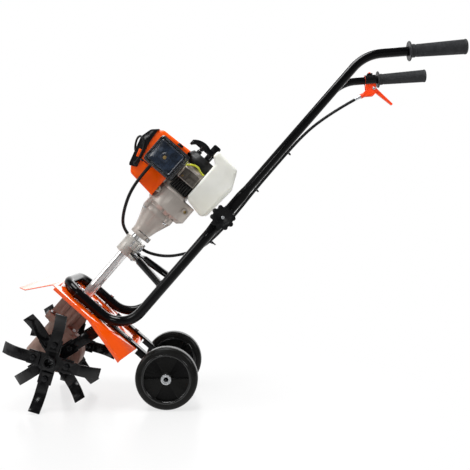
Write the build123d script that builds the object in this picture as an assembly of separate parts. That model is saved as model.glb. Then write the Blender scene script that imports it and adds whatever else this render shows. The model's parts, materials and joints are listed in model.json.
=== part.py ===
"""Mini tiller: a petrol engine drives a four-disc tine rotor through a tube shaft and a worm gearbox.

World frame in millimetres: +X to the rear (operator), +Y to the operator's right, +Z up, ground at Z = 0.
Most pieces are drawn in the machine frame: its z axis is the drive tube, its origin is the point of the tube
axis nearest the rotor axis, and its x axis points to the rear and down. MACHINE places it in the world.
"""
from build123d import *
import math
import os

# General fits
FIT = 0.1            # radial room between pieces fixed to each other
RUN = 0.05           # radial room of a turning fit
SIDE_GAP = 0.3       # room between flat faces that move past each other
TILT = 41.0          # drive tube's lean to the rear from vertical, degrees

# Worm gear pair
MODULE = 2.25
WHEEL_TEETH = 34
WORM_PITCH_R = 11.75
WORM_TURNS = 5
GEAR_PLAY = 0.80     # backlash at the pitch line
WHEEL_WIDTH = 18.0
PRESSURE_ANGLE = 20.0
WHEEL_PITCH_R = MODULE * WHEEL_TEETH / 2
CENTRES = WHEEL_PITCH_R + WORM_PITCH_R
LEAD = math.pi * MODULE
LEAD_ANGLE = math.degrees(math.atan(LEAD / (2 * math.pi * WORM_PITCH_R)))

# Rotor
ROTOR_X = -438.3
TINE_TIP_R = 122.0
TINE_WIDTH = 28.0
TINE_THICK = 4.5
TINE_BEND_BACK = 52.0  # bend's start, measured back from the tip
TINE_BEND_R = 70.0
TINE_BEND = 34.0
TINE_ROOT_R = 26.0
TINE_BOLT_R = 42.0
OUTER_PHASE = 74.0   # angle of one outer tine above the rear direction
INNER_PHASE = 32.0
OUTER_DISC_Y = 136.0
INNER_DISC_Y = 74.0
PLATE_THICK = 4.0
PLATE_ARM_R = 56.0
PLATE_ARM_WIDTH = 34.0
HUB_R = 16.0
HUB_INNER_Y = 52.0
HUB_OUTER_Y = 150.0
SHAFT_R = 10.0
SHAFT_END_Y = 118.0
SOCKET_R = 10.5      # open end of each hub
SOCKET_LENGTH = 30.0
TINE_BOLT_SHANK = 4.0
TINE_BEND_START = TINE_TIP_R - TINE_BEND_BACK
ROTOR_Z = (TINE_TIP_R * math.sin(math.radians(OUTER_PHASE))
           + TINE_WIDTH / 2 * math.cos(math.radians(OUTER_PHASE)))

# Gearbox castings
TUBE_R = 14.0
TUBE_WALL = 2.0
NECK_LOW = 52.5
NECK_CORE_R = 25.0
NECK_HALF_X = 43.0
NECK_HALF_Y = 27.0
NECK_TOP_HALF_Y = 38.0
NECK_RIB = 7.0
FLANGE_THICK = 9.0
FLANGE_HALF_X = 45.0
FLANGE_HALF_Y = 27.5
FLANGE_CORNER = 10.0
FLANGE_SCREW_X = 37.0
FLANGE_SCREW_Y = 18.0
WORM_CASE_R = 28.0
WORM_CASE_LOW = -55.0
WHEEL_CASE_R = 51.0
WHEEL_CASE_HALF = 28.0
WHEEL_ROOM_R = 43.0
WHEEL_ROOM_HALF = 11.0
ROTOR_BOSS_R = 27.0
ROTOR_BOSS_Y = 46.0
ROTOR_BEARING_R = 21.0
ROTOR_BEARING_WIDTH = 12.0
ROTOR_BEARING_Y = 30.0
WORM_BEARING_R = 17.5
WORM_BEARING_WIDTH = 11.0
WORM_BEARING_Z = 27.0
WORM_SHAFT_R = 7.5
COVER_THICK = 6.0
COVER_SCREWS = 6
COVER_SCREW_R = 46.5
SCREW_R = 2.5
SCREW_HEAD_R = 4.3
SCREW_HEAD = 5.0

# Tine guard
GUARD_TOP = 148.0
SHEET = 2.0
GUARD_FRONT_X = -66.0
GUARD_FRONT_HALF = 145.0
GUARD_WIDE_X = 54.0
GUARD_WIDE_HALF = 150.0
GUARD_REAR_X = 188.0
GUARD_REAR_HALF = 86.0
WING_REAR_X = 176.0
WING_DROP = 31.0
WING_HALF = 146.0
FLAP_X = -108.0
FLAP_DROP = 53.0
LIP_X = -122.0
LIP_DROP = 57.0
EDGE_FOLD = 9.0
GUARD_BOLT_X = 33.0
GUARD_BOLT_Y = 27.0

# Drive tube, frame clamp and struts
TUBE_LOW = 60.0
TUBE_HIGH = 386.0
DRIVE_SHAFT_R = 4.0
CLAMP_LOW = 298.0
CLAMP_HIGH = 346.0
CLAMP_R = 24.0
CLAMP_LUG_X = 8.0
CLAMP_PARTING_X = 18.0
CLAMP_REAR_X = 27.0
CLAMP_LUG = 24.0     # height of the bolted lugs, below the clamp's top
CLAMP_HALF_Y = 36.0
CLAMP_SPLIT = 0.8
CLAMP_BOLT_Y = 30.0
CLAMP_SPINE_HALF = 20.0
SHELF_EDGE = 11.5
SHELF_TOP = 312.0
SHELF_THICK = 7.0
STRUT_R = 9.5
STRUT_FLAT = 5.0
STRUT_FLAT_WIDTH = 24.0
STRUT_LOFT = 14.0
STRUT_FROM_X = 30.0
STRUT_FROM_Y = 38.0
BOLT_R = 3.0
BOLT_HEAD_R = 5.6
BOLT_HEAD = 4.0
BOLT_ROOM = 0.2

# Lower frame loop
FRAME_R = 12.5
FRAME_WALL = 1.8
FRAME_LIE = 0.1      # room between the loop and the guard it lies on
FRAME_HALF_LOW = 95.0
FRAME_FRONT_X = -52.0
FRAME_RISE_X = 137.0
FRAME_CORNER_R = 46.0
FRAME_BEND_R = 70.0
FRAME_KINK_Z = 470.0
FRAME_KINK_R = 80.0
FRAME_FLAT_FROM = 492.0
FLAT_LOFT = 24.0
JOINT_Z = 539.0
FRAME_FLAT = 10.0
FLAT_WIDTH = 29.0
FRAME_BOLT_XS = (-8.0, 48.0)

# Handlebars
HANDLE_Y = 170.0
HANDLE_R = 11.0
HANDLE_WALL = 1.6
HANDLE_FLAT = 12.0
HANDLE_FLAT_WIDTH = 26.0
HANDLE_FLAT_LENGTH = 66.0
HANDLE_STRAIGHT = 512.0
HANDLE_BEND_R = 100.0
HANDLE_RISE = 4.6    # grip's slope above level, degrees
HANDLE_TAIL = 239.0
JOINT_BOLT_R = 4.0
JOINT_HEAD_R = 7.5
JOINT_HEAD = 5.0
KNOB_R = 25.0
KNOB_LOBES = 10
KNOB_LOBE_R = 6.0
KNOB_THICK = 15.0
KNOB_COLLAR_R = 13.0
KNOB_COLLAR = 6.0
GRIP_R = 14.6
GRIP_END_R = 17.4
GRIP_LENGTH = 134.0
GRIP_FLANGE_R = 23.7
GRIP_FLANGE = 3.2
GRIP_COLLAR_R = 15.9
GRIP_COLLAR = 11.0
GRIP_LIP = 4.0       # length of the raised lip at the grip's end
GRIP_LIP_RISE = 0.7
GRIP_END = 3.0

# Throttle
THROTTLE_GAP = 6.0   # room between the bracket and the grip's flange
BRACKET_WIDTH = 30.0
BRACKET_WALL = 3.5
BRACKET_DROP = 46.0  # lower edge of the bracket below the tube's axis
PIVOT_DROP = 25.0
PIVOT_ALONG = 8.0    # lever pivot past the bracket's middle
LEVER_LENGTH = 68.0
LEVER_THICK = 9.0
LEVER_SLOPE = 41.0   # lever's fall below level at rest, degrees
LEVER_EYE_R = 7.0
LEVER_TIP_R = 2.8
RIVET_R = 3.0
RIVET_HEAD = 1.5
CONDUIT_R = 4.2
CONDUIT_BEND_R = 16.0
STOP_DROP = 37.5     # conduit stop on the bracket
STOP_LENGTH = 19.0
STOP_DEEP = 9.0
STOP_WALL = 2.4
STOP_TILT = 22.0
THROTTLE_ALONG = HANDLE_TAIL - GRIP_LENGTH - THROTTLE_GAP - BRACKET_WIDTH / 2

# Wheels
WHEEL_R = 77.0
WHEEL_Y = 113.0
TYRE_HALF = 18.0
TYRE_ROUND = 11.0
RIM_R = 56.0
WEB_HALF = 6.0
WHEEL_HUB_R = 15.0
WHEEL_HUB_HALF = 19.0
SECTORS = 3
SECTOR_ANGLE = 60.0  # spread of each raised sector of the wheel's face
SECTOR_RISE = 7.0
SECTOR_PHASE = 90.0  # angle of one sector above the rear direction
AXLE_R = 8.0
AXLE_BORE_R = 6.2
AXLE_TUBE_R = 12.0
ARM_Y = 66.0
ARM_WIDTH = 22.0
ARM_THICK = 6.0
ARM_WEB = 5.0
ARM_DEEP = 18.0      # depth of each arm behind the guard
ARM_FRONT_X = 92.0
ARM_BOLT_XS = (112.0, 160.0)
WASHER_R = 12.5
WASHER_THICK = 3.0

# Engine; its levels are set from the upper end of the drive tube
COLLAR_LOW = TUBE_HIGH - 28.0
COLLAR_HEIGHT = 12.0
COLLAR_R = 25.0
BELL_LOW = TUBE_HIGH - 12.0
BELL_HIGH = TUBE_HIGH + 60.0
BELL_R = 45.0
BELL_FLANGE = 16.0
BELL_SCREW_R = 46.5
BELL_EAR_R = 6.5
SLOT = 3.0
PINCH_EAR_X = 32.0
PINCH_EAR_HALF = 9.0
DRUM_LOW = TUBE_HIGH + 42.0
DRUM_HIGH = DRUM_LOW + 21.0
DRUM_R = 33.0
DRUM_WALL = 2.5
DRUM_ROOM_R = 36.0
STUB_R = 6.0
STUB_BEARING_R = 14.0
STUB_BEARING_LOW = TUBE_HIGH + 4.0
STUB_BEARING_WIDTH = 8.0
FAN_X = 9.0
FAN_R = 58.0
FAN_HIGH = TUBE_HIGH + 117.0
FAN_WALL = 4.0
FAN_CHAMFER = 11.0
FAN_EAR_XS = (-37.0, 55.0)
FAN_EAR_Z = FAN_HIGH - 18.0
FAN_EAR_Y = -50.0
FAN_EAR_R = 8.0
FAN_SLOTS = 9
FLYWHEEL_R = 39.0
FLYWHEEL_LOW = TUBE_HIGH + 76.0
FLYWHEEL_THICK = 10.0
FAN_BLADES = 12
FAN_BLADE_HEIGHT = 18.0
SHOE_GAP = 2.5
CASE_FRONT_X = -36.0
CASE_REAR_X = 33.0
CASE_HALF_Y = 42.0
CASE_HIGH = TUBE_HIGH + 202.0
BOSS_HIGH = CASE_HIGH - 12.0
CASE_PLATE = 7.0
CRANK_R = 8.0
CRANK_WEB_R = 27.0
CRANK_ROOM_R = 31.0
CRANK_ROOM_HALF = 27.0
CRANK_WEB = 13.0
CRANK_PIN_R = 7.0
CRANK_THROW = 16.0
CYL_Z = TUBE_HIGH + 154.0
CYL_CORE_R = 29.0
CYL_TOP_X = -122.0
CYL_FINS = 8
FIN_THICK = 2.6
FIN_HALF_Y = 40.0
FIN_HALF_Z = 34.0
GRILLE_LOW = TUBE_HIGH + 127.0
GRILLE_HIGH = GRILLE_LOW + 30.0
GRILLE_FRONT_X = -22.0
GRILLE_OUT = 16.0
GRILLE_RIBS = 8

# Shroud outline (x, height above the tube's end), from the front of the base round to the rear
SHROUD_SHAPE = ((-38, 76), (-116, 84), (-131, 103), (-152, 172), (-145, 200), (-122, 222), (-38, 226))
SHROUD_OUTLINE = [(x, TUBE_HIGH + rise) for x, rise in SHROUD_SHAPE]
SHROUD_HALF_Y = 58.0
SHROUD_WALL = 2.5
SHROUD_CORNER = 12.0
SHROUD_EDGE = 7.0
TRIM_THICK = 3.0
TRIM_WIDTHS = (19.0, 23.0, 13.0)  # trim's width on the shroud's sides, at its three corners
BOOT_R = 9.5
PLUG_OPENING = (34.0, 40.0)

# Intake, fuel, exhaust and starter
FILTER_X = (-109.0, -20.0)
FILTER_Z = (TUBE_HIGH + 133.0, TUBE_HIGH + 212.0)
FILTER_BASE_Y = (-77.0, -102.0)
FILTER_FRONT_Y = -130.0
FILTER_CORNER = 9.0
FILTER_RIM = 4.0
CARB_X = (-94.0, -42.0)
CARB_Z = (TUBE_HIGH + 136.0, TUBE_HIGH + 180.0)
INTAKE_X = -60.0
INTAKE_R = 14.0
# Tank's side view (x, height above the tube's end), from the lower front corner round to the nose
TANK_SHAPE = ((33, 128), (100, 114), (107, 222), (86, 268), (16, 273), (16, 254), (33, 241))
TANK_HALF_Y = 64.0
TANK_CORNER = 15.0
NOSE_CORNER = 8.0
TANK_EDGE = 7.5
CAP_R = 22.0
CAP_HEIGHT = 14.0
CAP_FLUTES = 12
CAP_X = 84.0
CAP_Z = TUBE_HIGH + 214.0
HOSE_R = 2.8
HOSE_WALL = 1.2
HOSE_BEND_R = 8.0
HOSE_TANK = (CASE_REAR_X, -49.0, TUBE_HIGH + 200.0)
HOSE_CARB = (CARB_X[1], -66.0, TUBE_HIGH + 166.0)
MUFFLER_X = (-112.0, -28.0)
MUFFLER_Z = (TUBE_HIGH + 122.0, TUBE_HIGH + 194.0)
MUFFLER_Y = (66.0, 104.0)
MUFFLER_CORNER = 9.0
SEAM = 3.0           # muffler's seam, standing out all round
STARTER_R = 45.0
STARTER_HIGH = TUBE_HIGH + 236.0
STARTER_FOOT = (18.0, 20.0)
STARTER_FOOT_TOP = TUBE_HIGH + 284.0
STARTER_FOOT_X = 4.5
PULL_X = -22.0
PULL_Y = -6.0
PULL_LOW = STARTER_HIGH + 12.0
PULL_HALF = 33.0
PULL_ARCH_R = 46.0
PULL_THICK = 12.0
PULL_WIDTH = 17.0
ROPE_R = 2.0
CHOKE_X = -84.0
CHOKE_Y = -90.0

# Machine frame in the world
TILT_SIN = math.sin(math.radians(TILT))
TILT_COS = math.cos(math.radians(TILT))
MACHINE_X = ROTOR_X - CENTRES * TILT_COS
MACHINE_Z = ROTOR_Z + CENTRES * TILT_SIN
MACHINE = Pos(MACHINE_X, 0, MACHINE_Z) * Rot(0, TILT, 0)
ROTOR = Pos(ROTOR_X, 0, ROTOR_Z)

# The axle lies in the middle of the bracket arms, at the height that sets the wheels on the ground
AXLE_Z = GUARD_TOP + ARM_THICK / 2
AXLE_X = (MACHINE_Z + AXLE_Z * TILT_COS - WHEEL_R) / TILT_SIN
FRAME_LOW = GUARD_TOP + FRAME_R + FRAME_LIE
FRAME_HALF_HIGH = HANDLE_Y - HANDLE_FLAT / 2 - SIDE_GAP - FRAME_FLAT / 2

UP = (Align.CENTER, Align.CENTER, Align.MIN)
nodes = {}


def add(name, shape):
    """Keep a finished piece, in world position, under its node name."""
    nodes[name] = shape


def post(radius, low, high):
    """Upright cylinder between two heights."""
    return Pos(0, 0, low) * Cylinder(radius, high - low, align=UP)


def ring(outer, inner, low, high):
    """Upright tube between two heights."""
    return post(outer, low, high) - post(inner, low, high)


def across(shape):
    """Lay an upright shape down so that its axis runs along +Y."""
    return Rot(-90, 0, 0) * shape


def slab(x, y, z):
    """Box between two x, two y and two z values."""
    middle = [(a + b) / 2 for a, b in (x, y, z)]
    return Pos(*middle) * Box(abs(x[1] - x[0]), abs(y[1] - y[0]), abs(z[1] - z[0]))


def lathe(*profile):
    """Solid turned about the z axis from (radius, height) points."""
    outline = Plane.XZ * Polyline(*profile, close=True)
    return revolve(make_face(outline), Axis.Z)


def both_sides(shape):
    """A piece on the right and its mirror image on the left."""
    return shape + mirror(shape, about=Plane.XZ)


def left_of(shape):
    """Mirror image of a right-hand piece."""
    return mirror(shape, about=Plane.XZ)


def group(shapes):
    """Separate solids kept together in one node."""
    solids = []
    for shape in shapes:
        solids.extend(shape.solids())
    return Compound(children=solids)


def bolt(grip, radius=BOLT_R, head_r=BOLT_HEAD_R, head=BOLT_HEAD, spare=5.0):
    """Hexagon bolt: head above z = 0, shank down through the grip length, nut below it."""
    shank = post(radius, -grip - spare, 0)
    hexagon = extrude(RegularPolygon(head_r, 6), head)
    nut = Pos(0, 0, -grip - head) * extrude(RegularPolygon(head_r, 6), head)
    return shank + hexagon + nut


def screw(length):
    """Socket screw with its head above z = 0 and a blind hexagon socket."""
    body = post(SCREW_R, -length, 0) + post(SCREW_HEAD_R, 0, SCREW_HEAD)
    socket = Pos(0, 0, SCREW_HEAD / 2) * extrude(RegularPolygon(SCREW_R, 6), SCREW_HEAD)
    return body - socket


def cord_path(points, tightest):
    """Straight runs joined by arcs as large as the shorter run beside each corner allows."""
    vectors = [Vector(*point) for point in points]
    radii = []
    for before, corner, after in zip(vectors, vectors[1:], vectors[2:]):
        arrive = corner - before
        leave = after - corner
        turn = math.radians(arrive.get_angle(leave))
        room = 0.45 * min(arrive.length, leave.length)
        radii.append(max(tightest, room / math.tan(turn / 2)))
    return FilletPolyline(*points, radius=radii)


def sweep_round(path, outer, inner=0.0):
    """Round bar or tube along a path."""
    section = Circle(outer)
    if inner > 0:
        section -= Circle(inner)
    start = Plane(origin=path @ 0, z_dir=path % 0)
    return sweep(start * section, path=path)


def flattened_end(tube_r, width, thick, straight, swage_length=FLAT_LOFT):
    """End of a tube pressed flat along Y: a loft from round to flat, then a flat tongue with a round tip.

    It rises from z = 0. The tongue's tip is centred at z = swage_length + straight.
    """
    tip = swage_length + straight
    flat = SlotOverall(width, thick)
    swage = loft([Circle(tube_r).face(), (Pos(0, 0, swage_length) * flat).face()])
    tongue = extrude(Pos(0, 0, swage_length) * flat, straight)
    nose = Pos(0, 0, tip) * across(post(width / 2, -thick / 2, thick / 2))
    return swage + tongue + nose


def sheet(*points, thick, towards):
    """Flat sheet on three or more corner points, thickened in one direction."""
    return extrude(make_face(Polyline(*points, close=True)), amount=thick, dir=towards)


# Rotor: hubs, plates and tines

def tine(bend_sign):
    """One flat tine along +X, its mounting face at y = 0, bent sideways towards its tip."""
    middle = TINE_THICK / 2
    turned = math.radians(TINE_BEND)
    root = Line((TINE_ROOT_R, middle), (TINE_BEND_START, middle))
    curve = JernArc(root @ 1, (1, 0), TINE_BEND_R, bend_sign * TINE_BEND)
    end = curve @ 1
    reach = (TINE_TIP_R - end.X) / math.cos(turned)
    blade = Line(end, end + Vector(math.cos(turned), bend_sign * math.sin(turned)) * reach)
    profile = trace(root + curve + blade, line_width=TINE_THICK)
    flat = extrude(profile, amount=TINE_WIDTH / 2, both=True)
    hole = Pos(TINE_BOLT_R, 0, 0) * across(post(TINE_BOLT_SHANK + BOLT_ROOM, -TINE_THICK, 2 * TINE_THICK))
    trim = slab((TINE_TIP_R, 2 * TINE_TIP_R), (-TINE_TIP_R, TINE_TIP_R), (-TINE_WIDTH, TINE_WIDTH))
    return flat - hole - trim


def hub():
    """Right-hand hub tube with its two cross plates, about the rotor axis."""
    body = across(post(HUB_R, HUB_INNER_Y, HUB_OUTER_Y))
    arm = slab((-PLATE_ARM_R, PLATE_ARM_R), (-PLATE_THICK, 0), (-PLATE_ARM_WIDTH / 2, PLATE_ARM_WIDTH / 2))
    cross = arm + Rot(0, 90, 0) * arm
    holes = [
        Rot(0, quarter * 90, 0) * Pos(TINE_BOLT_R, 0, 0)
        * across(post(TINE_BOLT_SHANK + BOLT_ROOM, -2 * PLATE_THICK, PLATE_THICK))
        for quarter in range(4)
    ]
    cross -= holes
    for disc_y, phase in ((OUTER_DISC_Y, OUTER_PHASE), (INNER_DISC_Y, INNER_PHASE)):
        body += Pos(0, disc_y, 0) * Rot(0, -phase, 0) * cross
    body -= across(post(SOCKET_R, HUB_OUTER_Y - SOCKET_LENGTH, HUB_OUTER_Y + 1))
    return body - across(post(SHAFT_R + FIT, 0, HUB_OUTER_Y))


def tine_places():
    """Places of the right-hand tines, with the side each one bends to."""
    for disc_y, phase, first in ((OUTER_DISC_Y, OUTER_PHASE, 1), (INNER_DISC_Y, INNER_PHASE, -1)):
        for quarter in range(4):
            side = first if quarter % 2 == 0 else -first
            yield Pos(0, disc_y, 0) * Rot(0, -phase - 90 * quarter, 0), side


def build_rotor():
    """Shaft, worm wheel, hubs, tines and tine bolts."""
    shaft = across(post(SHAFT_R, -SHAFT_END_Y, SHAFT_END_Y))
    add("tine_shaft", ROTOR * shaft)
    right_hub = ROTOR * hub()
    add("hub_right", right_hub)
    add("hub_left", left_of(right_hub))
    tines = [ROTOR * place * tine(side) for place, side in tine_places()]
    add("tines_right", group(tines))
    add("tines_left", group([left_of(one) for one in tines]))
    fastener = Pos(TINE_BOLT_R, TINE_THICK, 0) * across(
        bolt(TINE_THICK + PLATE_THICK, TINE_BOLT_SHANK, BOLT_HEAD_R + 1.4, BOLT_HEAD + 1))
    bolts = [ROTOR * place * fastener for place, _ in tine_places()]
    add("tine_bolts", group(bolts + [left_of(one) for one in bolts]))


# Gearbox

def worm_wheel():
    """Wheel blank about the y axis with gaps cut at the worm's lead angle; one gap faces the worm (-x)."""
    tip_r = WHEEL_PITCH_R + MODULE
    root_r = WHEEL_PITCH_R - 1.25 * MODULE
    slope = math.tan(math.radians(PRESSURE_ANGLE))
    half_gap = LEAD / 4 + GEAR_PLAY / 4
    deep = half_gap - (WHEEL_PITCH_R - root_r) * slope
    over = half_gap + 2 * MODULE * slope
    outer_r = WHEEL_PITCH_R + 2 * MODULE
    gap = make_face(Plane.XZ * Polyline((-root_r, deep), (-outer_r, over), (-outer_r, -over), (-root_r, -deep),
                                        close=True))
    cutter = extrude(gap, amount=WHEEL_WIDTH, both=True)
    cutter = Rot(LEAD_ANGLE, 0, 0) * cutter
    blank = across(post(tip_r, -WHEEL_WIDTH / 2, WHEEL_WIDTH / 2))
    blank -= across(post(SHAFT_R + FIT, -WHEEL_WIDTH, WHEEL_WIDTH))
    step = 360 / WHEEL_TEETH
    return blank - [Rot(0, step * tooth, 0) * cutter for tooth in range(WHEEL_TEETH)]


def worm_shaft():
    """Single-start worm on its shaft, with a crest facing the wheel at z = 0."""
    tip_r = WORM_PITCH_R + MODULE
    root_r = WORM_PITCH_R - 1.2 * MODULE
    slope = math.tan(math.radians(PRESSURE_ANGLE))
    half = LEAD / 4 - GEAR_PLAY / 4
    sunk_r = root_r - 1
    at_root = half + (WORM_PITCH_R - sunk_r) * slope
    at_tip = half - MODULE * slope
    length = WORM_TURNS * LEAD
    helix = Pos(0, 0, -length / 2) * Rot(0, 0, 180 * (WORM_TURNS % 2)) * Helix(LEAD, length, WORM_PITCH_R)
    start = helix @ 0
    inward = 1 if start.X > 0 else -1
    section = make_face(Plane.XZ * Polyline(
        (inward * sunk_r, start.Z + at_root), (inward * tip_r, start.Z + at_tip),
        (inward * tip_r, start.Z - at_tip), (inward * sunk_r, start.Z - at_root), close=True))
    thread = sweep(section, path=helix, is_frenet=True)
    foot = -WORM_BEARING_Z - WORM_BEARING_WIDTH
    core = lathe((0, foot), (WORM_SHAFT_R, foot),
                 (WORM_SHAFT_R, -WORM_BEARING_Z + 1), (root_r, -WORM_BEARING_Z + 1),
                 (root_r, WORM_BEARING_Z - 1), (WORM_SHAFT_R, WORM_BEARING_Z - 1),
                 (WORM_SHAFT_R, TUBE_LOW), (0, TUBE_LOW))
    socket = post(DRIVE_SHAFT_R + FIT, WORM_BEARING_Z, TUBE_LOW + 1)
    return core + thread - socket


def rounded_plate(half_x, half_y, corner, low, high):
    """Rectangular plate with round corners between two heights."""
    outline = Pos(0, 0, low) * RectangleRounded(2 * half_x, 2 * half_y, corner)
    return extrude(outline, high - low)


def four_corners(x, y):
    """Four places at plus and minus x and y."""
    return [(sx * x, sy * y) for sx in (-1, 1) for sy in (-1, 1)]


def gearbox_neck():
    """Ribbed casting between the guard and the worm housing, bored for the drive tube."""
    top = GUARD_TOP - SHEET
    body = post(NECK_CORE_R, NECK_LOW, top)
    body += rounded_plate(FLANGE_HALF_X, FLANGE_HALF_Y, FLANGE_CORNER, NECK_LOW, NECK_LOW + FLANGE_THICK)
    body += rounded_plate(NECK_HALF_X, NECK_TOP_HALF_Y, FLANGE_CORNER, top - FLANGE_THICK, top)
    body += slab((-NECK_HALF_X, NECK_HALF_X), (-NECK_RIB / 2, NECK_RIB / 2), (NECK_LOW, top))
    for rib_x in (-NECK_CORE_R * 0.55, NECK_CORE_R * 0.55):
        rib = slab((-NECK_RIB / 2, NECK_RIB / 2), (-NECK_HALF_Y, NECK_HALF_Y), (NECK_LOW, top))
        body += Pos(rib_x, 0, 0) * rib
    body -= post(TUBE_R + FIT, TUBE_LOW, top + 1)
    body -= post(WORM_SHAFT_R + 1, NECK_LOW - 1, TUBE_LOW + 1)
    body -= [Pos(x, y, 0) * post(SCREW_R + BOLT_ROOM, NECK_LOW - 1, NECK_LOW + FLANGE_THICK + 1)
             for x, y in four_corners(FLANGE_SCREW_X, FLANGE_SCREW_Y)]
    body -= [Pos(x, y, 0) * post(BOLT_R + BOLT_ROOM, top - FLANGE_THICK - 1, top + 1)
             for x, y in four_corners(GUARD_BOLT_X, GUARD_BOLT_Y)]
    return body


def gearbox_housing():
    """Worm and wheel housing: worm bore along z, wheel room and rotor bore along y, open on the right."""
    wheel_axis = Pos(CENTRES, 0, 0)
    body = post(WORM_CASE_R, WORM_CASE_LOW, NECK_LOW)
    body += rounded_plate(FLANGE_HALF_X, FLANGE_HALF_Y, FLANGE_CORNER, NECK_LOW - FLANGE_THICK, NECK_LOW)
    body += wheel_axis * across(post(WHEEL_CASE_R, -WHEEL_CASE_HALF, WHEEL_CASE_HALF))
    body += wheel_axis * across(post(ROTOR_BOSS_R, -ROTOR_BOSS_Y, 0))
    rib_end = CENTRES + WHEEL_CASE_R * 0.6
    body += slab((0, rib_end), (-NECK_RIB / 2, NECK_RIB / 2), (0, NECK_LOW))
    bearing_deep = ROTOR_BEARING_Y + ROTOR_BEARING_WIDTH / 2
    body -= post(WORM_BEARING_R + FIT, -WORM_BEARING_Z - WORM_BEARING_WIDTH, NECK_LOW + 1)
    body -= wheel_axis * across(post(WHEEL_ROOM_R, -WHEEL_ROOM_HALF, WHEEL_CASE_HALF + 1))
    body -= wheel_axis * across(post(ROTOR_BEARING_R + FIT, -bearing_deep, 0))
    body -= wheel_axis * across(post(SHAFT_R + 1, -ROTOR_BOSS_Y - 1, 0))
    body -= [Pos(x, y, 0) * post(SCREW_R + BOLT_ROOM, NECK_LOW - FLANGE_THICK - 1, NECK_LOW + 1)
             for x, y in four_corners(FLANGE_SCREW_X, FLANGE_SCREW_Y)]
    body -= [place * across(post(SCREW_R + FIT, 2, WHEEL_CASE_HALF + 1)) for place in cover_screw_places()]
    return body


def cover_screw_places():
    """Screw places round the wheel axis on the right-hand cover."""
    for index in range(COVER_SCREWS):
        angle = math.radians(360 / COVER_SCREWS * index)
        yield Pos(CENTRES + COVER_SCREW_R * math.cos(angle), 0, COVER_SCREW_R * math.sin(angle))


def gearbox_cover():
    """Right-hand cover with the rotor bearing's seat and a spigot in the wheel room."""
    wheel_axis = Pos(CENTRES, 0, 0)
    plate_y = WHEEL_CASE_HALF
    body = across(post(WHEEL_CASE_R, plate_y, plate_y + COVER_THICK))
    body += across(post(ROTOR_BOSS_R, plate_y, ROTOR_BOSS_Y))
    body += across(post(WHEEL_ROOM_R - FIT, WHEEL_ROOM_HALF + 2, plate_y))
    body -= across(post(ROTOR_BEARING_R + FIT, 0, ROTOR_BEARING_Y + ROTOR_BEARING_WIDTH / 2))
    body -= across(post(SHAFT_R + 1, 0, ROTOR_BOSS_Y + 1))
    body = wheel_axis * body
    reach = plate_y + COVER_THICK + 1
    return body - [place * across(post(SCREW_R + FIT, plate_y - 1, reach)) for place in cover_screw_places()]


def build_gearbox():
    """Castings, bearings, screws, worm and wheel."""
    add("gearbox_neck", MACHINE * gearbox_neck())
    add("gearbox_housing", MACHINE * gearbox_housing())
    add("gearbox_cover", MACHINE * gearbox_cover())
    add("worm_wheel", MACHINE * Pos(CENTRES, 0, 0) * worm_wheel())
    add("worm_shaft", MACHINE * worm_shaft())
    half = ROTOR_BEARING_WIDTH / 2
    rotor_bearing = across(ring(ROTOR_BEARING_R, SHAFT_R + RUN, -half, half))
    bearings = [MACHINE * Pos(CENTRES, side * ROTOR_BEARING_Y, 0) * rotor_bearing for side in (-1, 1)]
    for low in (-WORM_BEARING_Z - WORM_BEARING_WIDTH, WORM_BEARING_Z):
        bearings.append(MACHINE * ring(WORM_BEARING_R, WORM_SHAFT_R + RUN, low, low + WORM_BEARING_WIDTH))
    stub_high = STUB_BEARING_LOW + STUB_BEARING_WIDTH
    bearings.append(MACHINE * ring(STUB_BEARING_R, STUB_R + RUN, STUB_BEARING_LOW, stub_high))
    add("ball_bearings", group(bearings))
    screws = [MACHINE * Pos(x, y, NECK_LOW + FLANGE_THICK) * screw(2 * FLANGE_THICK - 2)
              for x, y in four_corners(FLANGE_SCREW_X, FLANGE_SCREW_Y)]
    cover_face = WHEEL_CASE_HALF + COVER_THICK
    screws += [MACHINE * place * Pos(0, cover_face, 0) * across(screw(COVER_THICK + 12))
               for place in cover_screw_places()]
    screws += [MACHINE * place * Pos(0, 0, BELL_HIGH - BELL_FLANGE) * Rot(180, 0, 0) * screw(BELL_FLANGE + 6)
               for place in bell_screw_places()]
    screws += [MACHINE * Pos(x, FAN_EAR_Y, FAN_EAR_Z) * Rot(90, 0, 0) * screw(10) for x in FAN_EAR_XS]
    screws.append(MACHINE * pinch_place() * bolt(2 * PINCH_EAR_HALF, SCREW_R, SCREW_HEAD_R))
    add("housing_screws", group(screws))


# Guard, frame, struts and clamp

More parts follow.
